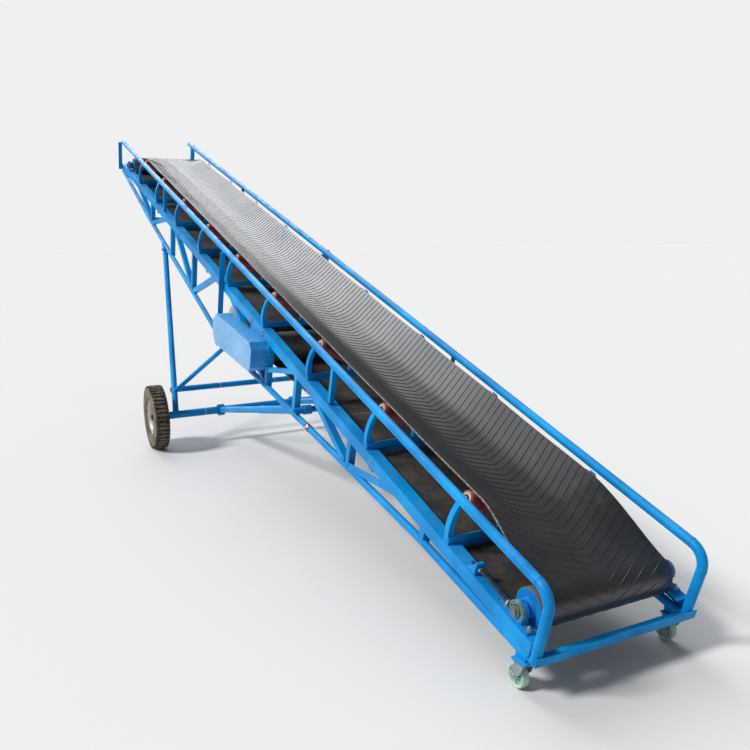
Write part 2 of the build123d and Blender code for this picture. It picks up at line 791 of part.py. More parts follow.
def arm_pivot_tube():
    reach = chord_y + 22
    return tube((arm_pivot_s, -reach, arm_pivot_n), (arm_pivot_s, reach, arm_pivot_n), arm_pivot_d, 4)


def wheel_spin(points):
    """Revolve an outline of (radius, across) about the axle line."""
    plane = Plane(origin=(wheel_x, track_half, tyre_r), x_dir=(0, 0, 1), z_dir=(1, 0, 0))
    face = plane * make_face(Polyline(*points, close=True))
    return revolve(face, axis=Axis((wheel_x, track_half, tyre_r), (0, 1, 0)))


def tyre():
    half = tyre_width / 2
    return wheel_spin([(rim_r, -half * 0.72), (rim_r + 25, -half * 0.95), (tyre_r - 70, -half),
                       (tyre_r - 22, -half * 0.92), (tyre_r, -half * 0.66), (tyre_r, half * 0.66),
                       (tyre_r - 22, half * 0.92), (tyre_r - 70, half), (rim_r + 25, half * 0.95),
                       (rim_r, half * 0.72)])


def rim():
    half = tyre_width / 2
    bore = stub_d / 2 + 0.05
    return wheel_spin([(bore, -hub_in), (hub_r, -hub_in), (hub_r, -6), (rim_r - 14, 6), (rim_r - 14, -half * 0.72),
                       (rim_r - 0.3, -half * 0.72), (rim_r - 0.3, half * 0.72), (rim_r - 14, half * 0.72),
                       (rim_r - 14, 14), (hub_r, 2), (hub_r, hub_out), (bore, hub_out)])


# Casters, level

def caster_bracket():
    """Saddle between the level caster plate and the sloping chord."""
    a = math.radians(bed_angle)
    low = caster_height
    x0 = swivel_x - 30
    x1 = swivel_x + 45

    def under(x):
        s_part = (x - stringer_leg * math.sin(a)) / math.cos(a)
        return bed_height + s_part * math.sin(a) - stringer_leg * math.cos(a)
    wide = 40
    plane = Plane(origin=(0, half_width - wide, 0), x_dir=(1, 0, 0), z_dir=(0, -1, 0))
    outline = Polyline((x0, low), (x1, low), (x1, under(x1)), (x0, under(x0)), close=True)
    return largest(extrude(plane * make_face(outline), wide, dir=(0, 1, 0)) - bed_place * chord_outside)


def caster_top():
    long, wide = caster_plate
    top = caster_height
    return block((swivel_x - long / 2, caster_y - wide / 2, top - caster_plate_wall),
                 (swivel_x + long / 2, caster_y + wide / 2, top))


def fork():
    """Swivel crown and two cheeks that hold the wheel's axle."""
    top = caster_height - caster_plate_wall - belt_gap
    r = caster_wheel_d / 2
    wheel_centre = (swivel_x + caster_trail, caster_y, r)
    crown = Pos(swivel_x, caster_y, top - 6) * Cylinder(32, 12)
    bridge = block((swivel_x - 32, caster_y - 34, top - 16), (swivel_x + 40, caster_y + 34, top - 10))
    body = crown + bridge
    for side in (-1, 1):
        y0 = side * (34 - fork_wall)
        y1 = side * 34
        lo = caster_y + min(y0, y1)
        hi = caster_y + max(y0, y1)
        plane = Plane(origin=(0, lo, 0), x_dir=(1, 0, 0), z_dir=(0, -1, 0))
        outline = Polyline((swivel_x - 32, top - 10), (swivel_x + 40, top - 10),
                           (wheel_centre[0] + 16, r - 8), (wheel_centre[0] - 16, r - 8), close=True)
        body = body + extrude(plane * make_face(outline), hi - lo, dir=(0, 1, 0))
    pin = rod((wheel_centre[0], caster_y - 38, r), (wheel_centre[0], caster_y + 38, r), 12)
    return body + pin


def caster_wheel():
    r = caster_wheel_d / 2
    x = swivel_x + caster_trail
    half = caster_wheel_width / 2
    tread = rod((x, caster_y - half, r), (x, caster_y + half, r), 2 * r)
    tread = fillet(tread.edges().filter_by(GeomType.CIRCLE), 6)
    return tread - rod((x, caster_y - 60, r), (x, caster_y + 60, r), 12.1)


def join(pieces):
    return Compound(children=[piece for group in pieces for piece in group.solids()])


def sided(name, pieces, place):
    """Left copy as made, right copy mirrored, each with its solids placed."""
    left = join([place * piece for piece in pieces])
    right = join([place * piece.mirror(mirror_y) for piece in pieces])
    return {name + "_left": left, name + "_right": right}


def paired(name, pieces, place):
    """One node with the left pieces and their mirror images."""
    both = [shape for piece in pieces for shape in both_sides(piece)]
    return {name: join([place * piece for piece in both])}


def centred(name, pieces, place):
    return {name: join([place * piece for piece in pieces])}


level = Location((0, 0, 0))

nodes = {}
nodes.update(paired("stringers", [stringer()], bed_place))
nodes.update(centred("tail_crossbar", [crossbar()], bed_place))
nodes.update(paired("lower_chords", [chord()], bed_place))
nodes.update(paired("web_posts", web_posts(), bed_place))
nodes.update(paired("web_diagonals", web_diagonals(), bed_place))
nodes.update(centred("bed_ties", bed_ties(), bed_place))
nodes.update(centred("chord_ties", chord_ties(), bed_place))
nodes.update(paired("handrails", [handrail()], bed_place))
nodes.update(paired("rail_posts", rail_posts(), bed_place))
nodes.update(centred("idler_crossbars", idler_bars(), bed_place))
nodes.update(paired("idler_arms", idler_arms(), bed_place))
nodes.update(centred("centre_rollers", centre_rollers(), bed_place))
nodes.update(paired("wing_rollers", wing_rollers(), bed_place))
nodes.update(centred("belt_carrying_run", [belt_top()], bed_place))
nodes.update(centred("belt_return_run", [belt_return()], bed_place))
nodes.update(centred("return_rollers", return_rollers(), bed_place))
nodes.update(paired("roller_hangers", roller_hangers(), bed_place))
nodes.update(centred("tail_pulley", [pulley(tail_s, pulley_face, bearing_y + 40)], bed_place))
nodes.update(centred("head_pulley", [pulley(head_s, pulley_face, bearing_y + 40)], bed_place))
nodes.update(paired("tail_bearings", [bearing(tail_s)], bed_place))
nodes.update(paired("head_bearings", [bearing(head_s)], bed_place))
nodes.update(paired("take_ups", [take_up()], bed_place))
nodes.update(paired("drive_plates", [drive_plates()], bed_place))
nodes.update(centred("drive_drum", [drive_drum()], bed_place))
nodes.update(centred("bend_roller", [bend_roller()], bed_place))
nodes.update(centred("sheaves", sheaves(), bed_place))
nodes.update(centred("drive_guard", [drive_guard()], bed_place))
nodes.update(centred("motor", [motor()], bed_place))
nodes.update(centred("motor_mount", [motor_mount()], bed_place))
nodes.update(centred("hinge_lugs", hinge_lugs(), bed_place))
nodes.update(centred("arm_pivot_tube", [arm_pivot_tube()], bed_place))
nodes.update(centred("legs", legs(), level))
nodes.update(centred("axle_beam", [axle_beam()], level))
nodes.update(centred("cross_tube", [cross_tube()], level))
nodes.update(centred("stays", stays(), level))
nodes.update(centred("arm_sleeves", arm_sleeves(), level))
nodes.update(centred("arm_tubes", arm_tubes(), level))
nodes.update(sided("tyre", [tyre()], level))
nodes.update(sided("rim", [rim()], level))
nodes.update(paired("caster_brackets", [caster_bracket()], level))
nodes.update(paired("caster_plates", [caster_top()], level))
nodes.update(sided("caster_fork", [fork()], level))
nodes.update(sided("caster_wheel", [caster_wheel()], level))

# The origin is under the middle of the machine's length, on the floor.
boxes = [shape.bounding_box() for shape in nodes.values()]
middle_x = (min(box.min.X for box in boxes) + max(box.max.X for box in boxes)) / 2

for name, shape in nodes.items():
    export_step(Pos(-middle_x, 0, 0) * shape, "parts/" + name + ".step")
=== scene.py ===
import bisect
import math
import random

import bpy
from mathutils import Matrix, Vector


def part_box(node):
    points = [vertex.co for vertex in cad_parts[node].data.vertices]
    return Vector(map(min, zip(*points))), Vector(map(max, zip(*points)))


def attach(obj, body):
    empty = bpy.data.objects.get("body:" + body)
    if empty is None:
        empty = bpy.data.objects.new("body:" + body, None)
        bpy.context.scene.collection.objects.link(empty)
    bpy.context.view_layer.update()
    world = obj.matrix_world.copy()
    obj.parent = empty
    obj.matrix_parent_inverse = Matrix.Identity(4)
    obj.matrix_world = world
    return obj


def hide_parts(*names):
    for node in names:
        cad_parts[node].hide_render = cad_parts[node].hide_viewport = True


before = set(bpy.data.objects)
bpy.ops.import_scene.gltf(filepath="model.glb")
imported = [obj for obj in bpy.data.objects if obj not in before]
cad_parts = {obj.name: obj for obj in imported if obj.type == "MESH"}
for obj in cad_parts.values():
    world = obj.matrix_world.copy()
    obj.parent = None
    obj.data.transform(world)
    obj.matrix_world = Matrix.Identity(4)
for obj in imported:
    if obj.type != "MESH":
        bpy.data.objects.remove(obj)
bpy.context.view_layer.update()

# Portable belt conveyor, metres. Local points are (s, y, n) in the bed frame, as in the model's source,
# or (x, y, z) in the row frame for the running gear, which stands level.

# Bed frame, found from the tail pulley's axis
bed_angle = math.radians(16.8)
tail_s = 0.186
pulley_n = 0.058
tail_low, tail_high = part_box("tail_pulley")
tail_axis = (tail_low + tail_high) / 2
bed_x0 = tail_axis.x - tail_s * math.cos(bed_angle) + pulley_n * math.sin(bed_angle)
bed_z0 = tail_axis.z - tail_s * math.sin(bed_angle) - pulley_n * math.cos(bed_angle)


def bed(point):
    """Row-frame point of a bed point (s, y, n)."""
    s, y, n = point
    return Vector((bed_x0 + s * math.cos(bed_angle) - n * math.sin(bed_angle), y,
                   bed_z0 + s * math.sin(bed_angle) + n * math.cos(bed_angle)))


def level(point):
    """Row-frame point as it is, for the running gear."""
    return Vector(point)


# Sizes from the model
half_width = 0.5
stringer_leg = 0.08
rail_r = 0.027
rail_y = 0.48
rail_n = 0.298
rail_bend = 0.1
chord_r = 0.024
chord_y = 0.48
chord_points = ((0.036, -0.096), (1.04, -0.165), (4.85, -0.617), (8.21, -0.32), (9.99, -0.104))
post_stations = (1.04, 2.03, 3.01, 3.64, 6.05, 7.02, 8.08)
diagonal_ends = ((1.15, 1.985), (2.96, 2.085), (4.9, 3.7), (5.1, 5.99), (6.96, 6.105), (7.075, 8.01),
                 (9.15, 8.15))
idler_stations = [0.806 + i for i in range(9)]
roller_r = 0.0445
centre_half = 0.15
wing_length = 0.262
pulley_r = 0.097
pulley_half = 0.415
head_s = 9.6
bearing_y = 0.468
axle_low, axle_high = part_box("axle_beam")
wheel_x = (axle_low.x + axle_high.x) / 2
tyre_r = 0.322
tyre_width = 0.145
track_half = 1.066
rim_r = 0.168
sides = ((1, "left"), (-1, "right"))


def chord_n(s):
    """Height of the chord's centre line at s."""
    for (s0, n0), (s1, n1) in zip(chord_points, chord_points[1:]):
        if s <= s1:
            return n0 + (s - s0) * (n1 - n0) / (s1 - s0)
    return chord_points[-1][1]


# Mesh building

ring_corners = 6
weld_swell = 0.005


def across(axis):
    """Two directions square to an axis and to each other."""
    axis = Vector(axis).normalized()
    side = Vector((0, 0, 1)) if abs(axis.z) < 0.9 else Vector((1, 0, 0))
    u = axis.cross(side).normalized()
    return u, axis.cross(u).normalized()


def placed(name, data):
    """New object with this data, in the scene."""
    obj = bpy.data.objects.new(name, data)
    bpy.context.scene.collection.objects.link(obj)
    return obj


class Shape:
    """Gathers simple closed forms, in local points, into one mesh."""

    def __init__(self, place=bed):
        self.place = place
        self.points = []
        self.faces = []
        self.smooth = []
        self.slots = []
        self.slot = 0

    def add(self, points, faces, smooth=False):
        base = len(self.points)
        self.points.extend(Vector(p) for p in points)
        self.faces.extend([base + i for i in face] for face in faces)
        self.smooth.extend([smooth] * len(faces))
        self.slots.extend([self.slot] * len(faces))

    def lathe(self, origin, axis, profile, segments=20, smooth=True, closed=False, turn=0.0):
        """Revolves (radius, height) pairs about an axis. Radius 0 at an end closes it to a point."""
        axis = Vector(axis).normalized()
        u, v = across(axis)
        origin = Vector(origin)
        points = []
        rings = []
        for radius, height in profile:
            centre = origin + axis * height
            if radius < 1e-6:
                rings.append([len(points)] * segments)
                points.append(centre)
                continue
            rings.append(list(range(len(points), len(points) + segments)))
            for i in range(segments):
                a = turn + 2 * math.pi * i / segments
                points.append(centre + (u * math.cos(a) + v * math.sin(a)) * radius)
        pairs = list(zip(rings, rings[1:]))
        if closed:
            pairs.append((rings[-1], rings[0]))
        faces = []
        for low, high in pairs:
            for i in range(segments):
                j = (i + 1) % segments
                corners = [low[i], low[j], high[j], high[i]]
                face = [c for k, c in enumerate(corners) if c != corners[k - 1]]
                if len(face) > 2:
                    faces.append(face)
        self.add(points, faces, smooth)

    def rod(self, a, b, radius, segments=16):
        """Round bar with slightly broken ends."""
        a = Vector(a)
        b = Vector(b)
        length = (b - a).length
        end = min(0.0012, radius / 3, length / 3)
        self.lathe(a, b - a, ((0, 0), (radius - end, 0), (radius, end), (radius, length - end),
                              (radius - end, length), (0, length)), segments)

    def prism(self, outline, depth):
        """Closed outline of points swept by a vector."""
        outline = [Vector(p) for p in outline]
        depth = Vector(depth)
        count = len(outline)
        normal = Vector()
        for a, b in zip(outline, outline[1:] + outline[:1]):
            normal += a.cross(b)
        if normal.dot(depth) > 0:
            outline.reverse()
        points = outline + [p + depth for p in outline]
        faces = [list(range(count)), list(range(2 * count - 1, count - 1, -1))]
        for i in range(count):
            j = (i + 1) % count
            faces.append([j, i, count + i, count + j])
        self.add(points, faces)

    def box(self, low, high):
        x0, y0, z0 = low
        x1, y1, z1 = high
        self.prism(((x0, y0, z0), (x1, y0, z0), (x1, y1, z0), (x0, y1, z0)), (0, 0, z1 - z0))

    def bolt(self, point, axis, size=0.016, stub=0.0):
        """Hexagon head on a washer, and the screw's end standing out where stub is given."""
        axis = Vector(axis).normalized()
        point = Vector(point)
        radius = size * 0.577
        self.lathe(point, axis, ((0, 0), (size * 0.95, 0), (size * 0.95, 0.002), (0, 0.002)), 16)
        top = point + axis * 0.002
        height = size * 0.62
        head = ((0, 0), (radius, 0), (radius, height * 0.8), (radius * 0.86, height), (0, height))
        self.lathe(top, axis, head, 6, smooth=False, turn=0.3)
        if stub:
            self.rod(top, top + axis * (height + stub), size * 0.3, 10)

    def ring(self, centre, axis, radius, thick, segments, ripple=0.0, seed=1):
        """Rounded ring, rippled like a weld bead where ripple is given."""
        axis = Vector(axis).normalized()
        u, v = across(axis)
        centre = Vector(centre)
        rough = random.Random(seed)
        points = []
        for i in range(segments):
            a = 2 * math.pi * i / segments
            out = u * math.cos(a) + v * math.sin(a)
            r = thick * (1 + ripple * rough.uniform(-1, 1))
            for k in range(ring_corners):
                b = 2 * math.pi * k / ring_corners
                points.append(centre + out * (radius + r * math.cos(b)) + axis * (r * math.sin(b)))
        faces = []
        for i in range(segments):
            for k in range(ring_corners):
                a0 = i * ring_corners
                a1 = (i + 1) % segments * ring_corners
                k1 = (k + 1) % ring_corners
                faces.append([a0 + k, a1 + k, a1 + k1, a0 + k1])
        self.add(points, faces, True)

    def weld(self, a, b, thick, seed):
        """Straight weld bead between two points, a row of small overlapping swells."""
        a = Vector(a)
        b = Vector(b)
        length = (b - a).length
        rough = random.Random(seed)
        steps = max(4, int(length / weld_swell))
        profile = [(0, 0)]
        for i in range(steps + 1):
            swell = thick * (0.85 + 0.15 * (i % 2) + 0.18 * rough.uniform(-1, 1))
            profile.append((swell * (0.7 if i in (0, steps) else 1), length * i / steps))
        profile.append((0, length))
        self.lathe(a, b - a, profile, 7)

    def both_sides(self):
        """Adds the mirror image across the middle plane."""
        base = len(self.points)
        self.points += [Vector((p.x, -p.y, p.z)) for p in self.points]
        self.faces += [[base + i for i in reversed(face)] for face in self.faces]
        self.smooth += self.smooth
        self.slots += self.slots

    def make(self, name, finishes, body, replaces=(), smooth_angle=40):
        """Makes the gathered forms one piece on a body, which may replace pieces of the model."""
        mesh = bpy.data.meshes.new(name)
        mesh.from_pydata([self.place(p) for p in self.points], [], self.faces)
        mesh.validate()
        mesh.update()
        for polygon, smooth, index in zip(mesh.polygons, self.smooth, self.slots):
            polygon.use_smooth = smooth
            polygon.material_index = index
        for finish in finishes if isinstance(finishes, (list, tuple)) else [finishes]:
            mesh.materials.append(finish)
        mesh.set_sharp_from_angle(angle=math.radians(smooth_angle))
        piece = placed(name, mesh)
        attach(piece, body)
        if replaces:
            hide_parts(*replaces)


def mirrored(profile):
    """List of (radius, height) pairs, followed by its mirror image in height."""
    return profile + [(radius, -height) for radius, height in reversed(profile) if height]


def spoke(angle):
    """Direction at an angle round the cross axis."""
    return Vector((math.cos(angle), 0, math.sin(angle)))


# Finishes

class Nodes:
    """A node tree, with a short way to add a node with its inputs and settings."""

    def __init__(self, tree):
        self.tree = tree

    def node(self, kind, inputs=None, **settings):
        made = self.tree.nodes.new(kind)
        for key, value in settings.items():
            setattr(made, key, value)
        for key, value in (inputs or {}).items():
            if isinstance(value, bpy.types.NodeSocket):
                self.tree.links.new(value, made.inputs[key])
            else:
                made.inputs[key].default_value = value
        return made


class Finish(Nodes):
    """One material, with short ways to add to its tree."""

    def __init__(self, name, roughness=0.5, metallic=0.0, specular=0.5, coat=0.0):
        self.material = bpy.data.materials.new(name)
        self.material.use_nodes = True
        super().__init__(self.material.node_tree)
        self.shader = self.tree.nodes["Principled BSDF"]
        self.set("Roughness", roughness)
        self.set("Metallic", metallic)
        self.set("Specular IOR Level", specular)
        self.set("Coat Weight", coat)
        self.set("Coat Roughness", 0.12)
        self.place = self.node("ShaderNodeTexCoord").outputs["Object"]
        self.normal = self.node("ShaderNodeNewGeometry").outputs["Normal"]

    def set(self, name, value):
        """Links or sets one of the shader's sockets."""
        socket = self.shader.inputs[name]
        if isinstance(value, bpy.types.NodeSocket):
            self.tree.links.new(value, socket)
        else:
            socket.default_value = (*value, 1) if isinstance(value, tuple) else value

    def finished(self, colour, normal, roughness=None):
        """Sets the main sockets and gives the material."""
        self.set("Base Color", colour)
        self.set("Normal", normal)
        if roughness is not None:
            self.set("Roughness", roughness)
        return self.material

    def noise(self, scale, detail=4.0, rough=0.55, stretch=None, distortion=0.0):
        place = self.place
        if stretch:
            place = self.node("ShaderNodeMapping", {"Vector": place, "Scale": stretch}).outputs[0]
        return self.node("ShaderNodeTexNoise", {"Vector": place, "Scale": scale, "Detail": detail,
                                                "Roughness": rough, "Distortion": distortion}).outputs["Fac"]

    def ramp(self, value, low, high):
        """Value mapped from low…high to 0…1, clamped."""
        return self.node("ShaderNodeMapRange", {"Value": value, "From Min": low, "From Max": high},
                         clamp=True, interpolation_type="SMOOTHSTEP").outputs[0]

    def patches(self, low, high, *noise, **more):
        """Soft-edged patches of a noise: 0 below low, 1 above high."""
        return self.ramp(self.noise(*noise, **more), low, high)

    def scaled(self, value, low, high):
        """0…1 mapped to low…high."""
        return self.node("ShaderNodeMapRange", {"Value": value, "To Min": low, "To Max": high}).outputs[0]

    def maths(self, operation, a, b=0.0):
        return self.node("ShaderNodeMath", {0: a, 1: b}, operation=operation).outputs[0]

    def times(self, a, b):
        return self.maths("MULTIPLY", a, b)

    def vector(self, operation, *inputs):
        """Outputs of a vector operation."""
        return self.node("ShaderNodeVectorMath", dict(enumerate(inputs)), operation=operation).outputs

    def part(self, vector, axis):
        """One axis of a vector."""
        return self.node("ShaderNodeSeparateXYZ", {0: vector}).outputs[axis]

    def mix(self, share, a, b):
        """Colour a, turned into colour b by a share."""
        a, b = ((*colour, 1) if isinstance(colour, tuple) else colour for colour in (a, b))
        return self.node("ShaderNodeMix", {0: share, 6: a, 7: b}, data_type="RGBA").outputs[2]

    def over(self, base, colour, mask, amount):
        """Base colour with another laid over it in a mask, by an amount."""
        return self.mix(self.times(mask, amount), base, colour)

    def edges(self, radius):
        """Mask of sharp outer edges, and the softened normal."""
        bevel = self.node("ShaderNodeBevel", {"Radius": radius}, samples=4).outputs[0]
        return self.ramp(self.vector("DOT_PRODUCT", bevel, self.normal)["Value"], 0.995, 0.9), bevel

    def eased(self, toward, share):
        """The surface's normal, drawn a share of the way towards a direction it already nearly faces."""
        dot = self.vector("DOT_PRODUCT", self.normal, toward)["Value"]
        share = self.times(self.ramp(dot, 0.7, 0.88), share)
        mixed = self.node("ShaderNodeMix", {0: share, 4: self.normal, 5: toward}, data_type="VECTOR")
        return self.vector("NORMALIZE", mixed.outputs[1])[0]

    def bump(self, height, distance, strength=1.0, normal=None):
        inputs = {"Height": height, "Distance": distance, "Strength": strength}
        if normal is not None:
            inputs["Normal"] = normal
        return self.node("ShaderNodeBump", inputs).outputs[0]


def paint(name, deep, bright, roughness=0.32, chips=0.5, dust=0.04):
    """Brushed-on machine paint: uneven coat, dusty upper faces, chips and rust on worn edges."""
    f = Finish(name, roughness, specular=0.14)
    colour = f.mix(f.patches(0.35, 0.68, 2.3, 5, 0.6), deep, bright)
    streaks = f.patches(0.52, 0.75, 9, 6, 0.7, distortion=0.6)
    colour = f.over(colour, tuple(min(1, c * 1.2 + 0.003) for c in bright), streaks, 0.35)
    dusty = f.times(f.ramp(f.part(f.normal, "Z"), 0.25, 0.95), f.patches(0.4, 0.7, 5, 8, 0.7))
    colour = f.over(colour, (0.42, 0.5, 0.52), dusty, dust)
    colour = f.over(colour, (0.02, 0.07, 0.13), f.patches(0.63, 0.74, 21, 8, 0.75), 0.45)
    edge, soft = f.edges(0.0022)
    worn = f.times(edge, f.patches(0.56, 0.66, 14, 8, 0.7))
    rust = f.times(f.maths("MAXIMUM", worn, f.patches(0.735, 0.76, 46, 6, 0.6)), chips)
    rust_colour = f.mix(f.patches(0.4, 0.6, 90, 3), (0.16, 0.055, 0.02), (0.06, 0.035, 0.025))
    rough = f.maths("ADD", f.scaled(f.noise(30, 4), roughness - 0.06, roughness + 0.12),
                    f.times(f.maths("MAXIMUM", dusty, rust), 0.3))
    peel = f.maths("ADD", f.times(f.noise(160, 2), 0.5), f.noise(28, 3))
    normal = f.bump(f.maths("SUBTRACT", peel, f.times(rust, 1.2)), 0.0006, 0.5, soft)
    return f.finished(f.mix(rust, colour, rust_colour), normal, rough)


def steel(name, colour, roughness=0.35, rust=0.3, fine=180, metallic=1.0):
    """Bare or plated steel with handling marks and rust."""
    f = Finish(name)
    base = f.mix(f.patches(0.35, 0.65, 35, 6, 0.6), colour, tuple(c * 0.72 for c in colour))
    rusty = f.times(f.patches(0.5, 0.66, 24, 8, 0.7), rust)
    brown = f.mix(f.patches(0.4, 0.6, 120, 3), (0.2, 0.075, 0.028), (0.07, 0.035, 0.02))
    f.set("Metallic", f.times(f.maths("SUBTRACT", 1.0, rusty), metallic))
    rough = f.scaled(f.noise(fine, 3), roughness - 0.08, roughness + 0.12)
    return f.finished(f.mix(rusty, base, brown), f.bump(f.noise(fine, 4), 0.0003, 0.5),
                      f.maths("ADD", rough, f.times(rusty, 0.4)))


# Along the bed, the belt's shading normal is eased more and more towards the bed's own
eased_x = (-2.4, 1.0)
eased_share = (0.3, 0.78)


def belt_rubber():
    """Dark rubber with a fine cloth print, dust in patches and rubbed wings that shine as the middle does."""
    f = Finish("belt_rubber", specular=0.8)
    base = f.mix(f.patches(0.35, 0.68, 3.5, 6, 0.65), (0.004, 0.0045, 0.0065), (0.012, 0.0128, 0.0155))
    base = f.over(base, (0.04, 0.042, 0.047), f.patches(0.5, 0.72, 240, 3, 0.6), 0.25)
    wing = f.ramp(f.maths("ABSOLUTE", f.part(f.place, "Y")), 0.1, 0.3)
    rubbed = f.times(wing, f.patches(0.57, 0.72, 6, 10, 0.75, (1, 2.5, 1)))
    base = f.over(base, (0.13, 0.12, 0.1), rubbed, 0.5)
    base = f.over(base, (0.2, 0.2, 0.2), f.patches(0.68, 0.74, 11, 5, 0.6, (9, 0.9, 9), 0.4), 0.35)
    cells = f.node("ShaderNodeTexVoronoi", {"Vector": f.place, "Scale": 310}).outputs["Distance"]
    grain = f.maths("ADD", f.noise(420, 2), f.times(cells, 0.6))
    bed_up = Vector((-math.sin(bed_angle), 0, math.cos(bed_angle)))
    share = f.scaled(f.ramp(f.part(f.place, "X"), *eased_x), *eased_share)
    normal = f.bump(grain, 0.0005, 0.22, f.eased(bed_up, share))
    return f.finished(base, normal, f.scaled(f.noise(7, 6, 0.65), 0.27, 0.43))


def belt_back():
    """Brown-grey fabric back of the belt."""
    f = Finish("belt_back", 0.85, specular=0.2)
    base = f.mix(f.patches(0.4, 0.65, 4, 8, 0.7), (0.035, 0.031, 0.028), (0.075, 0.068, 0.062))
    weave = f.node("ShaderNodeTexWave", {"Vector": f.place, "Scale": 160.0, "Distortion": 0.4}).outputs["Fac"]
    return f.finished(base, f.bump(f.maths("ADD", weave, f.noise(500, 2)), 0.0004, 0.4))


def belt_edge():
    """Cut edge of the belt, where lighter plies show."""
    f = Finish("belt_edge", 0.75, specular=0.25)
    base = f.mix(f.patches(0.35, 0.7, 60, 6, 0.7), (0.07, 0.066, 0.06), (0.3, 0.29, 0.27))
    return f.finished(base, f.bump(f.noise(300, 3), 0.0005, 0.5))


def tyre_rubber():
    """Dusty brown-black tyre rubber, with painted shade in the grooves between the lugs."""
    f = Finish("tyre_rubber", 0.85, specular=0.25)
    base = f.mix(f.patches(0.32, 0.66, 9, 8, 0.7), (0.06, 0.05, 0.037), (0.22, 0.18, 0.13))
    base = f.over(base, (0.3, 0.25, 0.18), f.patches(0.5, 0.7, 70, 5), 0.6)
    off_axle = f.vector("SUBTRACT", f.place, (wheel_x, 0, tyre_r))[0]
    radius = f.vector("LENGTH", f.vector("MULTIPLY", off_axle, (1, 0, 1))[0])["Value"]
    # Painted shade: the grooves between the lugs are darkened to near-black, a band at their depth measured
    # from the axle
    groove_shade = f.times(f.ramp(radius, tyre_r - 0.026, tyre_r - 0.014),
                     f.ramp(radius, tyre_r - 0.002, tyre_r - 0.006))
    base = f.over(base, (0.018, 0.015, 0.012), groove_shade, 0.85)
    return f.finished(base, f.bump(f.noise(220, 5), 0.0008, 0.6))


def roller_red():
    """Orange-red roller paint, rubbed and dusty."""
    f = Finish("roller_red")
    base = f.mix(f.patches(0.35, 0.65, 14, 6, 0.65), (0.2, 0.03, 0.024), (0.36, 0.075, 0.055))
    base = f.over(base, (0.24, 0.2, 0.18), f.patches(0.58, 0.7, 32, 8, 0.75), 0.6)
    return f.finished(base, f.bump(f.noise(140, 4), 0.0004, 0.5))


def nylon():
    """Green-white translucent nylon, grubby on its tread."""
    f = Finish("caster_nylon", 0.38)
    base = f.mix(f.patches(0.35, 0.68, 16, 6, 0.6), (0.3, 0.48, 0.41), (0.52, 0.68, 0.58))
    base = f.over(base, (0.2, 0.19, 0.14), f.patches(0.52, 0.72, 30, 8, 0.75), 0.45)
    f.set("Subsurface Weight", 0.35)
    f.set("Subsurface Radius", Vector((0.02, 0.03, 0.02)))
    f.set("Subsurface Scale", 0.5)
    return f.finished(base, f.bump(f.noise(120, 4), 0.0004, 0.35))


def plain(name, low, high, roughness, scale, bump=0.0004):
    """Two-tone mottled finish for small parts."""
    f = Finish(name)
    base = f.mix(f.patches(0.35, 0.68, scale, 6, 0.65), low, high)
    rough = f.scaled(f.noise(scale * 4, 3), roughness - 0.08, roughness + 0.1)
    return f.finished(base, f.bump(f.noise(scale * 9, 4), bump, 0.5), rough)


def guard_paint():
    """Pale blue guard sheet, chalky and scuffed to white on its flat face."""
    f = Finish("paint_guard", coat=0.2)
    base = f.mix(f.patches(0.35, 0.65, 3, 5, 0.6), (0.015, 0.23, 0.58), (0.045, 0.32, 0.68))
    outward = f.ramp(f.part(f.normal, "Y"), 0.7, 0.95)
    chalk = f.patches(0.36, 0.66, 4.5, 8, 0.72)
    base = f.over(base, (0.24, 0.48, 0.7), f.times(outward, chalk), 0.75)
    wipes = f.patches(0.58, 0.72, 10, 6, 0.7, (0.6, 1, 2.2), 0.8)
    base = f.over(base, (0.58, 0.68, 0.76), f.times(outward, wipes), 0.55)
    edge, soft = f.edges(0.003)
    worn = f.times(edge, f.patches(0.55, 0.68, 12, 8, 0.7))
    base = f.over(base, (0.3, 0.33, 0.36), worn, 0.5)
    return f.finished(base, f.bump(f.noise(6, 3), 0.004, 0.35, soft), f.scaled(chalk, 0.25, 0.5))


blue = paint("paint_blue", (0.001, 0.185, 0.5), (0.002, 0.3, 0.7))
guard_blue = guard_paint()
bearing_blue = paint("paint_bearing", (0.002, 0.13, 0.42), (0.004, 0.22, 0.6), roughness=0.42, chips=0.8)
motor_blue = paint("paint_motor", (0.01, 0.13, 0.33), (0.03, 0.24, 0.5), roughness=0.42, chips=0.6)
fin_grey = plain("motor_fins", (0.4, 0.38, 0.33), (0.62, 0.6, 0.54), 0.55, 30)
bright_steel = steel("bright_steel", (0.62, 0.62, 0.6), 0.28, 0.25)
cast_green = plain("cast_green", (0.05, 0.12, 0.11), (0.17, 0.26, 0.2), 0.6, 40, 0.001)
dark_steel = plain("dark_steel", (0.02, 0.022, 0.025), (0.07, 0.07, 0.07), 0.5, 60)
red = roller_red()
cream = plain("roller_ring", (0.42, 0.33, 0.22), (0.66, 0.58, 0.45), 0.55, 50)
pulley_steel = steel("pulley_steel", (0.24, 0.235, 0.23), 0.5, 0.6, metallic=0.7)
rubber = belt_rubber()
fabric = belt_back()
ply = belt_edge()
tyre_black = tyre_rubber()
rim_silver = steel("rim_silver", (0.5, 0.49, 0.48), 0.5, 0.55, 60, metallic=0.4)
hub_rust = plain("hub_rust", (0.09, 0.04, 0.02), (0.26, 0.14, 0.08), 0.8, 45, 0.001)
zinc = steel("caster_zinc", (0.36, 0.44, 0.5), 0.4, 0.35, metallic=0.75)
white_nylon = nylon()

# The model's own pieces that show and aren't blue
finish_of = {"drive_guard": guard_blue, "motor": fin_grey, "motor_mount": motor_blue}
for name in ("return_rollers", "tail_pulley", "head_pulley", "drive_drum", "bend_roller", "sheaves"):
    finish_of[name] = pulley_steel

for name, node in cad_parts.items():
    node.data.materials.clear()
    node.data.materials.append(finish_of.get(name, blue))


# Belt: one loop, troughed on its carrying run, with raised V ribs on its outer face

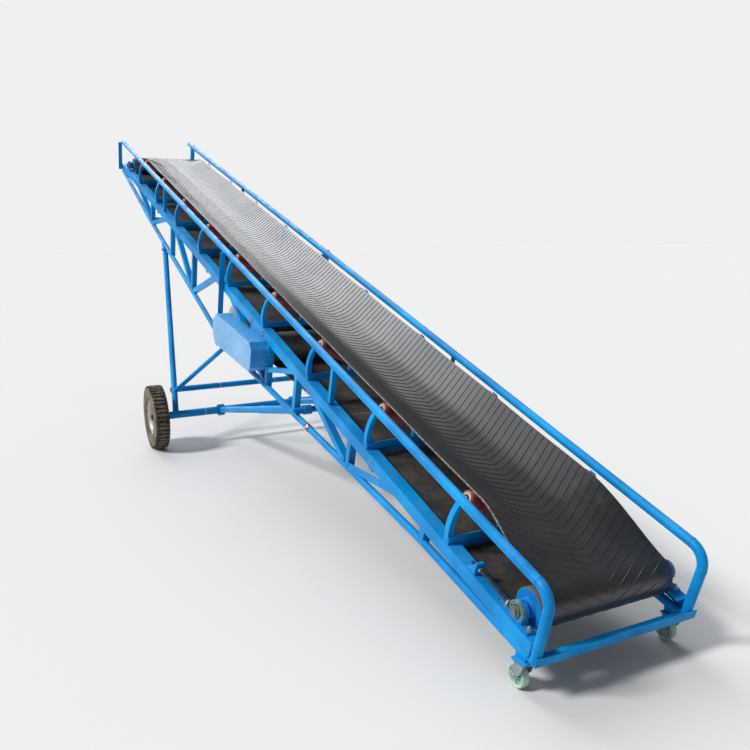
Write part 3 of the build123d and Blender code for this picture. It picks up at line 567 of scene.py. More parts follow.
belt_thick = 0.01
belt_half = 0.4
belt_gap = 0.0003
belt_drift = 0.01
trough_full = math.radians(26)
trough_start = 0.09
trough_end = 0.21
carry_n = 0.19
first_trough = idler_stations[0] - 2 * roller_r
last_trough = idler_stations[-1] + 2 * roller_r
belt_mid = belt_gap + belt_thick / 2
wrap_r = pulley_r + belt_mid
top_n = pulley_n + wrap_r
return_n = pulley_n - wrap_r
return_roller_r = 0.03
return_roller_n = return_n - belt_mid - return_roller_r
drum = (3.83, -0.205, 0.125)
bend_r = 0.045
bend_centre = (4.01, return_n - belt_mid - bend_r)
first_return_s = 1.7
belt_sag = 0.004
turn_step = math.radians(6)
carry_steps = 240


def belt_samples():
    """Points (s, n, trough share) along the belt's middle line, once round, from the tail pulley's top."""
    rollers = ((tail_s, pulley_n, wrap_r), (first_return_s, return_roller_n, -return_roller_r - belt_mid),
               (drum[0], drum[1], drum[2] + belt_mid), (*bend_centre, -bend_r - belt_mid),
               (head_s, pulley_n, wrap_r))
    ends = []
    for first, second in zip(rollers, rollers[1:]):
        ds = second[0] - first[0]
        dn = second[1] - first[1]
        angle = math.atan2(dn, ds) - math.asin((second[2] - first[2]) / math.hypot(ds, dn))
        ends.append(angle)
    samples = []

    def arc(roller, a0, a1):
        """Travel directions a0 to a1 on a roller, sampled."""
        steps = max(3, int(abs(a1 - a0) / turn_step))
        for i in range(steps + 1):
            a = a0 + (a1 - a0) * i / steps
            samples.append((roller[0] + roller[2] * math.sin(a), roller[1] - roller[2] * math.cos(a), 0.0))

    arc(rollers[0], -math.pi, ends[0])
    for i in range(1, 4):
        arc(rollers[i], ends[i - 1], ends[i])
    arc(rollers[4], ends[3], math.pi)
    for i in range(1, carry_steps + 1):
        s = head_s + (tail_s - head_s) * i / carry_steps
        share = min(1.0, (head_s - s) / (head_s - last_trough), (s - tail_s) / (first_trough - tail_s))
        rise = top_n + (carry_n - top_n) * share
        sag = belt_sag * (1 - math.cos(2 * math.pi * (s - idler_stations[0]))) / 2
        eased = 0.5 * share + 0.5 * share * share * (3 - 2 * share)
        samples.append((s, rise - (sag if share >= 1 else 0), eased))
    return samples


class Belt:
    """The belt's middle line, followed by its length."""

    def __init__(self):
        self.samples = belt_samples()
        self.length = [0.0]
        for a, b in zip(self.samples, self.samples[1:]):
            self.length.append(self.length[-1] + math.hypot(b[0] - a[0], b[1] - a[1]))
        self.total = self.length[-1]

    def at(self, along):
        """Middle point, outward direction and trough share at a length along the loop."""
        along = along % self.total
        i = bisect.bisect_left(self.length, along, 1) - 1
        span = max(1e-9, self.length[i + 1] - self.length[i])
        t = (along - self.length[i]) / span
        a, b = self.samples[i], self.samples[i + 1]
        point = [p + (q - p) * t for p, q in zip(a, b)]
        count = len(self.samples)
        before = self.samples[i - 1] if i else self.samples[count - 2]
        after = self.samples[i + 2] if i + 2 < count else self.samples[1]
        lead = Vector((b[0] - before[0], b[1] - before[1])).normalized()
        follow = Vector((after[0] - a[0], after[1] - a[1])).normalized()
        way = (lead * (1 - t) + follow * t).normalized()
        return point, Vector((way.y, -way.x)), point[2]

    def point(self, along, u, height):
        """Bed point at a length along, a width u across, and a height off the middle line."""
        (s, n, _), out, share = self.at(along)
        full = trough_full * share
        v = abs(u)
        bend = trough_end - trough_start
        angle = full * min(1.0, max(0.0, (v - trough_start) / bend))
        if full < 1e-3 or v <= trough_start:
            y, rise = v, 0.0
        else:
            k = bend / full
            y = trough_start + k * math.sin(angle) + max(0.0, v - trough_end) * math.cos(full)
            rise = k * (1 - math.cos(angle)) + max(0.0, v - trough_end) * math.sin(full)
        y -= height * math.sin(angle)
        rise += height * math.cos(angle)
        return Vector((s + out.x * rise, math.copysign(y, u) if u else 0.0, n + out.y * rise))


belt = Belt()


def widths_across(reach, steps):
    """Even places across the belt, to reach on both sides of its drifted middle."""
    return [reach * i / steps - belt_drift for i in range(-steps, steps + 1)]


def belt_loop():
    """The whole belt: its outer face, its fabric back and its cut edges."""
    widths = widths_across(belt_half, 16)
    top = belt_thick / 2
    section = [(u, top) for u in widths] + [(u, -top) for u in reversed(widths)]
    row = len(section)
    steps = belt.length[:-1]
    faces = []
    slots = []
    for i in range(len(steps)):
        ahead = (i + 1) % len(steps) * row
        for k in range(row):
            after = (k + 1) % row
            faces.append([i * row + k, i * row + after, ahead + after, ahead + k])
            slots.append(k // len(widths) if after % len(widths) else 2)
    shape = Shape()
    shape.add([belt.point(along, u, height) for along in steps for u, height in section], faces, True)
    shape.slots = slots
    shape.make("belt_loop", [rubber, fabric, ply], "frame",
               ("belt_carrying_run", "belt_return_run"), 50)


rib_pitch = 0.0565
rib_rake = 0.55
rib_width = 0.009
rib_height = 0.0027
rib_reach = 0.392
splice_s = 2.47
splice_half = 0.392


def belt_ribs():
    """Raised V ribs with their points towards the tail on the carrying run."""
    widths = widths_across(rib_reach, 13)
    foot = belt_thick / 2 - 0.0005
    crest = belt_thick / 2 + rib_height
    flat = rib_width * 0.3
    section = ((-rib_width / 2, foot), (-flat, crest), (flat, crest), (rib_width / 2, foot))
    last = 4 * (len(widths) - 1)
    faces = [[a + k, a + k + 4, a + k + 5, a + k + 1] for a in range(0, last, 4) for k in range(3)]
    faces += [[0, 1, 2, 3], [last + 3, last + 2, last + 1, last]]
    count = int(belt.total / rib_pitch)
    pitch = belt.total / count
    shape = Shape()
    for i in range(count):
        shape.add([belt.point(i * pitch - rib_rake * abs(u + belt_drift) + offset, u, height)
                   for u in widths for offset, height in section], faces, True)
    shape.make("belt_ribs", rubber, "frame", smooth_angle=30)


def belt_splice():
    """Pale glued joint across the inner face of the return run."""
    first = next(i for i, sample in enumerate(belt.samples) if sample[0] > first_return_s - 0.01)
    along = belt.length[first] + splice_s - belt.samples[first][0]
    low = -belt_thick / 2 - 0.0006
    high = -belt_thick / 2 + 0.001
    points = []
    for k, u in enumerate(widths_across(splice_half, 6)):
        near = along - 0.004 + 0.0015 * (k % 2)
        far = along + 0.005 - 0.001 * (k % 3)
        points += [belt.point(near, u, low), belt.point(far, u, low),
                   belt.point(far, u, high), belt.point(near, u, high)]
    last = len(points) - 4
    faces = [[3, 2, 1, 0], [last, last + 1, last + 2, last + 3]]
    for k in range(0, last, 4):
        for i in range(4):
            j = (i + 1) % 4
            faces.append([k + i, k + j, k + 4 + j, k + 4 + i])
    shape = Shape()
    shape.add(points, faces)
    shape.make("belt_splice", ply, "frame")


belt_loop()
belt_ribs()
belt_splice()


# Idlers

idler_shaft_r = 0.01
idler_gap = 0.012
under_n = carry_n - belt_thick / 2


def wing_line():
    """Axis ends of the wing roller on the left side, as (y, n)."""
    start_y = centre_half + idler_gap + roller_r * math.sin(trough_full)
    start_n = under_n + idler_gap * math.tan(trough_full) - (roller_r + belt_gap) * math.cos(trough_full)
    return (start_y, start_n), (start_y + wing_length * math.cos(trough_full),
                                start_n + wing_length * math.sin(trough_full))


def roller(shape, a, b, shaft_out):
    """Roller with rolled ends, a pale sealing ring, a sunk end cover and its shaft."""
    a = Vector(a)
    b = Vector(b)
    along = (b - a).normalized()
    length = (b - a).length
    r = roller_r
    bore = idler_shaft_r
    shape.slot = 0
    shape.lathe(a, along, ((r - 0.012, 0.002), (r - 0.004, 0), (r, 0.004), (r, length - 0.004),
                           (r - 0.004, length), (r - 0.012, length - 0.002)), 32)
    for end, way in ((a, -along), (b, along)):
        shape.slot = 1
        shape.lathe(end - way * 0.001, way, ((r - 0.011, -0.004), (r - 0.0105, 0.002), (r - 0.016, 0.003),
                                             (bore + 0.012, 0.001), (bore + 0.010, -0.004)), 32)
        shape.slot = 2
        shape.lathe(end, way, ((bore + 0.012, -0.003), (bore + 0.009, 0.0015), (bore + 0.001, 0.001),
                               (bore, -0.003)), 24)
        shape.slot = 3
        shape.rod(end - way * 0.01, end + way * shaft_out, bore)


def rollers():
    """All trough rollers: the wings, mirrored from left to right, and the centres."""
    finishes = [red, cream, dark_steel, bright_steel]
    start, end = wing_line()
    centre_n = under_n - roller_r - belt_gap
    wings = Shape()
    centres = Shape()
    for s in idler_stations:
        roller(wings, (s, *start), (s, *end), 0.006)
        roller(centres, (s, -centre_half, centre_n), (s, centre_half, centre_n), 0.002)
    wings.both_sides()
    wings.make("wing_rollers_detailed", finishes, "frame", ("wing_rollers",))
    centres.make("centre_rollers_detailed", finishes, "frame", ("centre_rollers",))


rollers()


# Wheels

lug_count = 46
stud_count = 5


def tyre(side, word):
    """Tyre with a zigzag centre rib, shoulder lugs and ringed side walls."""
    centre = Vector((wheel_x, side * track_half, tyre_r))
    half = tyre_width / 2
    base = tyre_r - 0.009
    shape = Shape(level)
    shape.lathe(centre, (0, 1, 0), mirrored([
        (rim_r + 0.001, -half * 0.72), (rim_r + 0.012, -half * 0.78), (rim_r + 0.025, -half * 0.93),
        (rim_r + 0.045, -half * 0.985), (tyre_r - 0.07, -half), (tyre_r - 0.045, -half * 0.985),
        (tyre_r - 0.024, -half * 0.91), (base - 0.001, -half * 0.7), (base, -half * 0.35), (base, 0)]), 96)
    for height in (-half * 0.955, half * 0.955):
        for radius in (rim_r + 0.03, rim_r + 0.037, tyre_r - 0.05):
            shape.ring(centre + Vector((0, height, 0)), (0, 1, 0), radius, 0.0028, 96)

    def tread(angle, y, radius):
        return centre + Vector((radius * math.sin(angle), y, radius * math.cos(angle)))

    def lug(corners, low, high):
        """Raised block over corners (angle, y), its top a little smaller than its foot."""
        count = len(corners)
        mid_a = sum(c[0] for c in corners) / count
        mid_y = sum(c[1] for c in corners) / count
        foot = [tread(a, y, low) for a, y in corners]
        tops = []
        for a, y in corners:
            drop = 0.006 * max(0.0, (abs(y) - half * 0.55) / (half * 0.4))
            tops.append(tread(mid_a + (a - mid_a) * 0.86, mid_y + (y - mid_y) * 0.93, high - drop))
        faces = [list(range(count, 2 * count))]
        for i in range(count):
            j = (i + 1) % count
            faces.append([i, j, count + j, count + i])
        shape.add(foot + tops, faces)

    step = 2 * math.pi / lug_count
    high = tyre_r - 0.0005
    for i in range(lug_count):
        a = i * step
        zig = 0.007 if i % 2 else -0.007
        for row, width in ((0.0, 0.011), (0.026, 0.0085), (-0.026, 0.0085)):
            y0 = row + zig
            y1 = row - zig
            b = a + step * 0.7
            lug([(a, y0 - width), (b, y1 - width), (b, y1 + width), (a, y0 + width)], base - 0.004, high)
        for end in (-1, 1):
            y0 = end * half * 0.6
            y1 = end * half * 0.93
            corners = [(a + step * share, y) for share, y in ((0.1, y0), (0.18, y1), (0.7, y1), (0.62, y0))]
            lug(corners[::end], base - 0.02, high)
    shape.make("tyre_lugged_" + word, tyre_black, "wheel_" + word, ("tyre_" + word,), 35)


def rim(side, word):
    """Pressed steel wheel: rolled flanges, a dished disc with small rings, hub and studs."""
    centre = Vector((wheel_x, side * track_half, tyre_r))
    out = Vector((0, side, 0))
    half = tyre_width / 2
    outer = [(rim_r - 0.001, -half * 0.72), (rim_r + 0.008, -half * 0.74), (rim_r + 0.010, -half * 0.69),
             (rim_r - 0.006, -half * 0.62), (rim_r - 0.010, -half * 0.3), (rim_r - 0.022, -half * 0.15)]
    inner = [(rim_r - 0.014, half * 0.6), (rim_r - 0.028, half * 0.16)]
    shape = Shape(level)
    shape.lathe(centre, out, mirrored(outer) + mirrored(inner), 64, closed=True)
    disc = ((rim_r - 0.026, -0.010), (rim_r - 0.03, 0.006), (rim_r - 0.045, 0.018), (rim_r - 0.065, 0.021),
            (rim_r - 0.082, 0.012), (0.06, 0.002), (0.05, 0.002), (0.04, 0.002), (0.04, -0.004),
            (0.06, -0.004), (rim_r - 0.082, 0.006), (rim_r - 0.065, 0.015), (rim_r - 0.045, 0.012),
            (rim_r - 0.034, 0.002), (rim_r - 0.03, -0.010))
    shape.lathe(centre, out, disc, 64, closed=True)
    shape.slot = 1
    hub = ((0.019, -0.04), (0.040, -0.04), (0.044, -0.012), (0.058, -0.008), (0.058, 0.004), (0.044, 0.008),
           (0.042, 0.030), (0.037, 0.036), (0.019, 0.036))
    shape.lathe(centre, out, hub, 32, closed=True)
    for i in range(stud_count):
        a = 2 * math.pi * i / stud_count
        shape.ring(centre + spoke(a + 0.3) * 0.098 + out * 0.0165, out, 0.012, 0.0025, 20)
        shape.bolt(centre + spoke(a) * 0.0505 + out * 0.004, out, 0.014, 0.004)
    shape.make("rim_pressed_" + word, [rim_silver, hub_rust], "wheel_" + word, ("rim_" + word,))


for side, word in sides:
    tyre(side, word)
for side, word in sides:
    rim(side, word)


# Bearings and take-ups

bearing_half = 0.022
base_half = 0.107
base_top = 0.014
shaft_r = 0.02
screw_n = 0.034
screw_block_s = 0.53


def bearings(s, end):
    """Pillow blocks: cast base and housing, a bare rusty-green face, a dark seal and the fixing bolts."""
    shape = Shape()
    y0 = bearing_y - bearing_half
    wide = 2 * bearing_half
    foot = ((-base_half, 0), (base_half, 0), (base_half, base_top * 0.7), (base_half - 0.004, base_top),
            (0.004 - base_half, base_top), (-base_half, base_top * 0.7))
    shape.prism([(s + x, y0, n) for x, n in foot], (0, wide, 0))
    waist = ((-0.052, base_top), (0.052, base_top), (0.047, 0.05), (-0.047, 0.05))
    shape.prism([(s + x, y0 + 0.003, n) for x, n in waist], (0, wide - 0.006, 0))
    housing = ((0.024, 0.001), (0.050, 0), (0.0535, 0.004), (0.0535, wide - 0.014), (0.024, wide - 0.014))
    face = ((0.0425, wide - 0.0135), (0.0535, wide - 0.0135), (0.0538, wide - 0.003), (0.052, wide - 0.0005),
            (0.0435, wide - 0.0012), (0.0425, wide - 0.003))
    race = ((0.034, wide - 0.012), (0.042, wide - 0.010), (0.0415, wide - 0.0045), (0.034, wide - 0.0035))
    seal = ((0.027, wide - 0.012), (0.0338, wide - 0.012), (0.033, wide - 0.006), (0.028, wide - 0.0055))
    collar = ((shaft_r + 0.0006, wide - 0.014), (0.0268, wide - 0.014), (0.0268, wide + 0.004),
              (shaft_r + 0.0006, wide + 0.005))
    turned = ((0, housing, 40), (1, face, 40), (1, race, 40), (2, seal, 40), (1, collar, 32))
    for slot, profile, segments in turned:
        shape.slot = slot
        shape.lathe((s, y0, pulley_n), (0, 1, 0), profile, segments, closed=True)
    shape.slot = 3
    for spot in (s - 0.088, s + 0.088):
        shape.bolt((spot, bearing_y, base_top), (0, 0, 1), 0.02, 0.008)
    shape.slot = 0
    shape.rod((s, bearing_y, pulley_n + 0.05), (s, bearing_y, pulley_n + 0.066), 0.004, 10)
    shape.both_sides()
    name = end + "_bearings"
    finishes = [bearing_blue, cast_green, dark_steel, zinc]
    shape.make(name + "_cast", finishes, "frame", (name,))


def take_ups():
    """Threaded adjusting screws with nuts, and their end blocks with a gusset."""
    shape = Shape()
    start = tail_s + 0.0545
    end = screw_block_s + 0.06
    pitch = 0.0028
    thread = [(0, 0)]
    for i in range(int((end - start) / pitch)):
        foot = i * pitch
        thread += [(0.0089, foot + 0.0004), (0.0089, foot + 0.001), (0.0077, foot + 0.0022)]
    shape.slot = 1
    shape.lathe((start, bearing_y, screw_n), (1, 0, 0), thread + [(0, end - start)], 12)
    shape.slot = 2
    nut = ((0.009, 0), (0.0145, 0), (0.0152, 0.0015), (0.0152, 0.0115), (0.0145, 0.013), (0.009, 0.013))
    for s in (screw_block_s - 0.022, screw_block_s + 0.0085, start + 0.022):
        shape.lathe((s, bearing_y, screw_n), (1, 0, 0), nut, 6, smooth=False)
    shape.slot = 0
    low, high = screw_block_s - 0.008, screw_block_s + 0.008
    y = bearing_y
    block = ((-0.028, 0), (0.028, 0), (0.028, 0.052), (0.021, 0.0695), (-0.021, 0.0695), (-0.028, 0.052))
    shape.prism([(low, y + dy, n) for dy, n in block], (high - low, 0, 0))
    shape.prism([(high, y + 0.0202, 0), (screw_block_s + 0.0795, y + 0.0202, 0), (high, y + 0.0202, 0.0595)],
                (0, 0.0056, 0))
    shape.weld((low, y - 0.026, 0.002), (low, y + 0.026, 0.002), 0.003, 3)
    shape.both_sides()
    shape.make("take_ups_threaded", [blue, dark_steel, zinc], "frame", ("take_ups",))


def pulley_ends():
    """Painted end discs with a hub on both pulleys."""
    shape = Shape()
    r = pulley_r
    disc = ((shaft_r, 0), (r - 0.003, 0), (r - 0.0035, 0.0025), (r - 0.012, 0.0025), (r - 0.016, 0.0015),
            (0.052, 0.0015), (0.046, 0.018), (0.033, 0.022), (shaft_r, 0.022))
    for s in (tail_s, head_s):
        for side in (-1, 1):
            shape.lathe((s, side * (pulley_half - 0.001), pulley_n), (0, side, 0), disc, 40)
    shape.make("pulley_end_discs", bearing_blue, "frame")


bearings(tail_s, "tail")
bearings(head_s, "head")
take_ups()
pulley_ends()


# Welds, bolts and tube seams

leg_foot = Vector((wheel_x, 0.87, tyre_r))
hinge_s = 7.35
hinge_drop = 0.06
hinge = bed((hinge_s, 0, chord_n(hinge_s) - hinge_drop))
leg_top = Vector((hinge.x, chord_y, hinge.z))
leg_r = 0.03
axle_r = 0.037
axle_end_y = 0.939
axle_joint_y = 0.57
cross_joint_y = 0.31
cross_r = 0.029


def frame_welds():
    """Beads where the web, the posts and the idlers' feet are welded, one side mirrored to the other."""
    shape = Shape()

    def bead(s, back, ahead, y, n, thick, seed):
        shape.weld((s - back, y, n), (s + ahead, y, n), thick, seed)

    y = half_width - 0.0055
    rise = chord_r * 0.86
    for k, s in enumerate(post_stations):
        n = chord_n(s) + rise
        bead(s, 0.025, 0.025, y, n, 0.0042, k)
        shape.weld((s - 0.025, 0.448, n + 0.006), (s - 0.025, 0.49, n), 0.0042, k + 20)
        bead(s, 0.024, 0.024, y - 0.002, -stringer_leg, 0.0038, k + 40)
    for k, (top_s, low_s) in enumerate(diagonal_ends):
        spot = low_s + math.copysign(0.02, top_s - low_s)
        ends = [(s, y, chord_n(s) + rise) for s in (spot - 0.045, spot + 0.045)]
        shape.weld(*ends, 0.0045, k + 60)
    for k, s in enumerate(idler_stations):
        bead(s, 0.019, 0.018, 0.489, 0.008, 0.004, k + 80)
        bead(s, 0.024, 0.024, 0.494, 0.001, 0.0035, k + 100)
    for k, s in enumerate((2.39, 7.4)):
        bead(s, 0, 0.036, half_width - 0.003, 0.002, 0.004, k + 120)
        bead(s, -0.002, 0.034, 0.487, rail_n - rail_r + 0.002, 0.004, k + 130)
    upright = (0, 0, 1)
    uphill = (1, 0, 0)
    joints = ((0, rail_n - rail_bend, upright, 0.0022), (rail_bend, rail_n, uphill, 0.0022),
              (5.2, rail_n, uphill, 0.0018), (0, 0.002 - stringer_leg, upright, 0.0032))
    for k, (s, n, axis, thick) in enumerate(joints):
        shape.ring((s, rail_y, n), axis, rail_r, thick, 36, 0.3, k + 5)
    for k, s in enumerate((hinge_s - 0.05, hinge_s + 0.012)):
        ends = [(at, half_width + 0.004, chord_n(at) - 0.015) for at in (s, s + 0.038)]
        shape.weld(*ends, 0.004, k + 140)
    shape.both_sides()
    shape.make("frame_welds", blue, "frame")


def stand_welds():
    """Beads round the leg feet, the leg tops and the axle tube."""
    shape = Shape(level)
    along = (leg_top - leg_foot).normalized()
    shape.ring(leg_foot + along * 0.045, along, leg_r + 0.001, 0.0035, 36, 0.35, 9)
    shape.ring(leg_top - along * 0.079, along, leg_r + 0.001, 0.0025, 36, 0.3, 10)
    shape.ring((wheel_x, axle_end_y, tyre_r), (0, 1, 0), axle_r + 0.0005, 0.0025, 36, 0.3, 11)
    shape.both_sides()
    shape.make("stand_welds", blue, "stand")


def seams():
    """Ground tube joints on the axle tube and the cross tube, where bare steel shows."""
    shape = Shape(level)
    low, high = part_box("cross_tube")
    middle = (low + high) / 2
    for side in (1, -1):
        for x, y, z, radius, seed in ((wheel_x, axle_joint_y, tyre_r, axle_r, 12),
                                      (middle.x, cross_joint_y, middle.z, cross_r, 13)):
            shape.ring((x, side * y, z), (0, 1, 0), radius + 0.0002, 0.0024, 40, 0.4, seed)
    shape.make("tube_seams", bright_steel, "stand")


def axle_nuts():
    """Nuts, washers and dust caps on the stub axles, and the bolts of the leg tops."""
    shape = Shape(level)
    washer = ((0.0182, 0), (0.035, 0), (0.035, 0.003), (0.0182, 0.003))
    nut = ((0.0182, 0), (0.0285, 0), (0.0295, 0.001), (0.0295, 0.010), (0.0255, 0.0125), (0.0182, 0.0125))
    cap = ((0, 0), (0.0178, 0), (0.016, 0.002), (0, 0.0026))
    for side in (-1, 1):
        out = Vector((0, side, 0))
        hub = Vector((wheel_x, side * (track_half + 0.0365), tyre_r))
        shape.slot = 0
        shape.lathe(hub, out, washer, 32, closed=True)
        shape.lathe(hub + out * 0.003, out, nut, 6, smooth=False, closed=True)
        shape.slot = 1
        shape.lathe(hub + out * 0.0177, out, cap, 24)
        shape.slot = 2
        shape.bolt((hinge.x, side * (half_width + 0.0075), hinge.z), out, 0.026)
    shape.make("axle_nuts", [dark_steel, hub_rust, zinc], "stand")


def bare_welds():
    """Unpainted repair weld round the left chord, burnt brown in places."""
    shape = Shape()
    along = Vector((1, 0, (chord_n(3.2) - chord_n(2.5)) / 0.7)).normalized()
    for k in range(8):
        shape.slot = 1 if k in (2, 3, 5) else 0
        s = 2.68 + 0.0095 * k
        shape.ring((s, chord_y, chord_n(s)), along, chord_r - 0.0008, 0.0052 - 0.0006 * abs(k - 3.5), 30,
                   0.5, 30 + k)
    shape.make("bare_chord_weld", [hub_rust, bright_steel], "frame")


def frame_bolts():
    """Hexagon bolts on the idler feet, the drive plates and the roller hangers."""
    shape = Shape()
    for s in idler_stations:
        shape.bolt((s + 0.008, 0.462, 0.005), (0, 0, 1), 0.016, 0.005)
    for s in (first_return_s, 5.5, 6.6, 7.7, 8.6):
        shape.bolt((s, half_width, -0.045), (0, 1, 0), 0.014)
    for s in (3.77, 4.05):
        for n in (-0.06, -0.03):
            shape.bolt((s, half_width, n), (0, 1, 0))
    shape.both_sides()
    shape.make("frame_bolts", zinc, "frame")


def guard_trim():
    """Fixing tabs of the drive guard, and the flange and bolts of its tail end."""
    shape = Shape()
    for s, n in ((3.655, -0.2), (3.9, -0.376), (4.3, -0.44)):
        shape.box((s - 0.014, 0.4955, n - 0.024), (s + 0.014, 0.4985, n + 0.024))
    shape.box((3.6365, 0.4985, -0.275), (3.6398, 0.522, -0.155))
    shape.slot = 1
    for n in (-0.17, -0.215, -0.26):
        shape.bolt((3.6365, 0.511, n), (-1, 0, 0), 0.011)
    shape.make("guard_fixings", [guard_blue, zinc], "frame")


motor_s = 4.65
motor_n = -0.29
motor_r = 0.139
motor_slots = 18
cowl_y = 0.07
shell_y = (0.128, 0.4538)


def motor_covers():
    """The motor's fan cowl with its grille rings, terminal box lid and end rings."""
    shape = Shape()
    r = motor_r

    def turned(y, profile, segments, closed=False):
        shape.lathe((motor_s, y, motor_n), (0, 1, 0), profile, segments, closed=closed)

    turned(cowl_y - 0.0012, ((0.012, 0.0008), (0.11, 0.0008), (0.122, 0.0004)), 48)
    for k in range(6):
        shape.ring((motor_s, cowl_y - 0.0008, motor_n), (0, 1, 0), 0.03 + 0.016 * k, 0.0024, 48)
    turned(shell_y[0], ((r - 0.01, 0), (r + 0.0006, 0.001), (r + 0.0006, 0.016), (r - 0.01, 0.017)), 56, True)
    shape.slot = 1
    turned(shell_y[1], ((r - 0.03, 0), (r + 0.0006, 0.001), (r + 0.0006, 0.016), (r - 0.012, 0.0175),
                        (0.06, 0.0175), (0.04, 0.03), (0.02, 0.03)), 56)
    face = Vector((motor_s, shell_y[1] + 0.017, motor_n))
    for i in range(motor_slots):
        a = 2 * math.pi * i / motor_slots
        foot = face + spoke(a) * 0.062
        tip = face + spoke(a) * 0.126
        flat = spoke(a + math.pi / 2) * 0.002
        shape.prism([foot - flat, tip - flat, tip + flat, foot + flat], (0, 0.004, 0))
    shape.slot = 0
    lid_top = motor_n + 0.1605
    shape.box((motor_s - 0.0505, 0.2195, motor_n + 0.118), (motor_s + 0.0505, 0.3405, lid_top))
    for s in (motor_s - 0.04, motor_s + 0.04):
        for y in (0.23, 0.33):
            shape.bolt((s, y, lid_top), (0, 0, 1), 0.007)
    shape.make("motor_covers", [motor_blue, fin_grey], "frame")


frame_welds()
stand_welds()
seams()
axle_nuts()
bare_welds()
frame_bolts()
guard_trim()
motor_covers()


# Casters

caster_x = bed_x0 + 0.1
caster_y = 0.48
caster_trail = 0.045
caster_top = 0.165
caster_r = 0.0625
caster_half = 0.022
caster_spokes = 8


def caster_fork(side, word):
    """Pressed swivel fork: ball race, cheeks with rolled edges, axle bolt and nut."""
    shape = Shape(level)
    y = side * caster_y
    top = caster_top - 0.0063
    race = ((0, 0), (0.030, 0), (0.0318, 0.003), (0.0318, 0.006), (0.0295, 0.0075), (0.0318, 0.009),
            (0.0305, 0.012), (0, 0.012))
    shape.lathe((caster_x, y, top - 0.012), (0, 0, 1), race, 36)
    hub_x = caster_x + caster_trail
    hub_z = caster_r - top
    cheek = ((caster_x - 0.032, -0.011), (caster_x + 0.040, -0.011), (caster_x + 0.046, -0.05),
             (hub_x + 0.018, hub_z), (hub_x + 0.009, hub_z - 0.0095), (hub_x - 0.009, hub_z - 0.0095),
             (hub_x - 0.018, hub_z), (caster_x - 0.012, -0.06))
    for way in (-1, 1):
        inner = y + way * 0.0302
        shape.slot = 0
        shape.prism([(x, inner, top + dz) for x, dz in cheek], (0, way * 0.0034, 0))
        shape.rod((hub_x, inner, caster_r), (hub_x, inner + way * 0.0045, caster_r), 0.011, 20)
        shape.slot = 1
        shape.bolt((hub_x, y + way * 0.0335, caster_r), (0, way, 0), 0.013)
    shape.rod((hub_x, y - 0.034, caster_r), (hub_x, y + 0.034, caster_r), 0.0059, 14)
    shape.slot = 0
    crown = ((-0.0335, -0.0155), (-0.030, -0.010), (0.030, -0.010), (0.0335, -0.0155))
    shape.prism([(caster_x - 0.032, y + dy, top + dz) for dy, dz in crown], (0.072, 0, 0))
    name = "caster_fork_" + word
    shape.make("caster_fork_pressed_" + word, [zinc, bright_steel], name, (name,))


def caster_wheel(side, word):
    """Moulded wheel: rounded tread, recessed web with ribs, hub and bearing caps."""
    shape = Shape(level)
    centre = Vector((caster_x + caster_trail, side * caster_y, caster_r))
    half = caster_half
    profile = [(0.0065, -half), (0.016, -half), (0.018, 0.003 - half), (0.018, -0.009), (0.044, -0.007),
               (0.047, 0.005 - half), (0.050, 0.001 - half), (0.057, -half), (0.061, 0.004 - half),
               (caster_r, 0.009 - half)]
    shape.lathe(centre, (0, 1, 0), mirrored(profile), 56, closed=True)
    for i in range(caster_spokes):
        a = 2 * math.pi * i / caster_spokes
        thick = spoke(a + math.pi / 2) * 0.003
        for way in (-1, 1):
            rib = [centre + spoke(a) * radius + Vector((0, way * height, 0)) - thick / 2
                   for radius, height in ((0.017, 0.008), (0.0465, 0.006), (0.0465, 0.015), (0.017, 0.019))]
            shape.prism(rib, thick)
    shape.slot = 1
    cap = ((0.0062, 0.0), (0.0135, 0.0), (0.0135, 0.0016), (0.0062, 0.0022))
    for way in (-1, 1):
        shape.lathe(centre + Vector((0, way * (half - 0.001), 0)), (0, way, 0), cap, 24)
    name = "caster_wheel_" + word
    shape.make("caster_wheel_moulded_" + word, [white_nylon, zinc], name, (name,))


def caster_bolts():
    """Bolts under the four corners of each caster's top plate."""
    shape = Shape(level)
    for side in (-1, 1):
        for dx in (-0.04, 0.04):
            for dy in (-0.033, 0.033):
                shape.bolt((caster_x + dx, side * (caster_y + dy), caster_top - 0.006), (0, 0, -1), 0.011)
    shape.make("caster_plate_bolts", zinc, "frame")


for side, word in sides:
    caster_fork(side, word)
    caster_wheel(side, word)
caster_bolts()


# Camera, floor and light

camera_place = Vector((bed_x0 - 2.6159, 2.6256, bed_z0 + 1.8609))
camera_yaw = -0.47022
camera_pitch = 0.17834
camera_roll = -0.01183
lens_length = 37.95
floor_reach = 90
floor_grey = 0.62
# The shade in which the floor comes out, given to what the camera sees beyond it, so that no horizon shows
floor_shade = 0.87
sky_strength = 0.26
# A bright part of the sky beyond the head end, whose glare lies on the belt, and its edge as cosines
patch_strength = 5.2
patch_way = Vector((0.81, -0.04, 0.585)).normalized()
patch_edge = (0.85, 0.975)
key_way = (0.1, 0.78, 0.78)
key_strength = 3.1
key_spread = 14


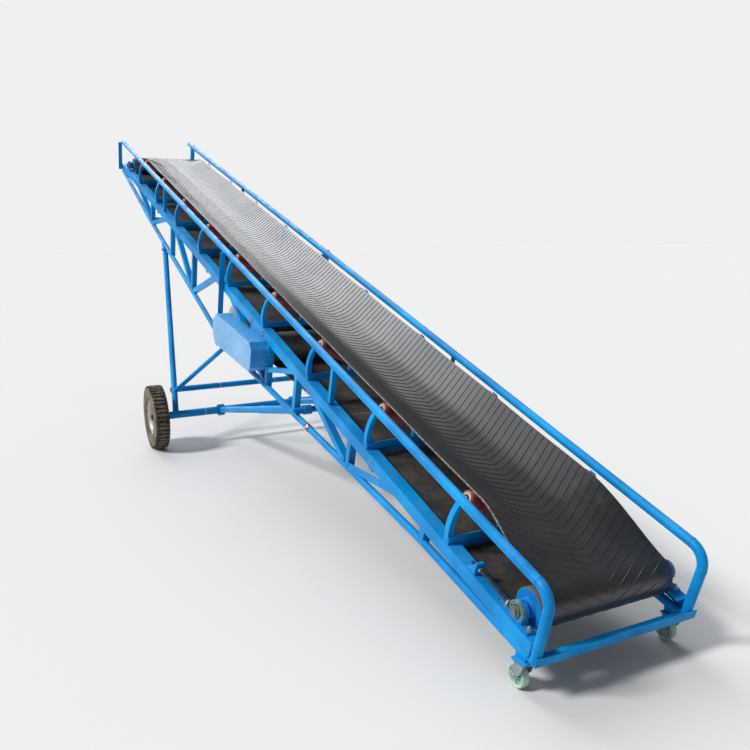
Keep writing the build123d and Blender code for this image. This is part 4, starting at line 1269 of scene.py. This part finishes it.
def camera():
    """Camera at the photograph's viewpoint."""
    lens = bpy.data.cameras.new("camera")
    lens.lens = lens_length
    lens.sensor_width = 36
    lens.clip_end = 200
    eye = placed("camera", lens)
    eye.matrix_world = (Matrix.Translation(camera_place) @ Matrix.Rotation(camera_yaw - math.pi / 2, 4, "Z")
                        @ Matrix.Rotation(math.pi / 2 - camera_pitch, 4, "X")
                        @ Matrix.Rotation(camera_roll, 4, "Z"))
    bpy.context.scene.camera = eye


def sun(name, source, strength, spread, colour):
    """Distant lamp shining from the direction of source, its shadows softened by its spread in degrees."""
    data = bpy.data.lights.new(name, "SUN")
    data.energy = strength
    data.angle = math.radians(spread)
    data.color = colour
    placed(name, data).rotation_euler = Vector(source).to_track_quat("Z", "Y").to_euler()


def lay_floor():
    """Pale floor that runs into the pale surroundings."""
    far = floor_reach
    mesh = bpy.data.meshes.new("floor")
    mesh.from_pydata([(-far, -far, 0), (far, -far, 0), (far, far, 0), (-far, far, 0)], [], [(0, 1, 2, 3)])
    f = Finish("floor_pale", 0.9, specular=0.0)
    f.set("Base Color", (floor_grey,) * 3)
    mesh.materials.append(f.material)
    floor = placed("floor", mesh)


def sky():
    """Soft sky with a bright patch, and a plain pale shade where it is looked at straight."""
    world = bpy.data.worlds.new("studio")
    bpy.context.scene.world = world
    world.use_nodes = True
    f = Nodes(world.node_tree)
    toward = f.node("ShaderNodeTexCoord").outputs["Generated"]
    facing = f.node("ShaderNodeVectorMath", {0: toward, 1: patch_way}, operation="DOT_PRODUCT")
    patch = f.node("ShaderNodeMapRange", {"Value": facing.outputs["Value"], "From Min": patch_edge[0],
                                          "From Max": patch_edge[1], "To Min": sky_strength,
                                          "To Max": patch_strength}, interpolation_type="SMOOTHSTEP")
    light = f.tree.nodes["Background"]
    light.inputs["Color"].default_value = (0.95, 0.975, 1.0, 1)
    f.tree.links.new(patch.outputs[0], light.inputs["Strength"])
    seen = f.node("ShaderNodeBackground", {"Color": (floor_shade, floor_shade, floor_shade, 1)})
    straight = f.node("ShaderNodeLightPath").outputs["Is Camera Ray"]
    mixed = f.node("ShaderNodeMixShader", {0: straight, 1: light.outputs[0], 2: seen.outputs[0]})
    f.tree.links.new(mixed.outputs[0], f.tree.nodes["World Output"].inputs[0])


camera()
lay_floor()
sky()
sun("key", key_way, key_strength, key_spread, (1.0, 0.985, 0.96))
bpy.context.scene.view_settings.view_transform = "Standard"
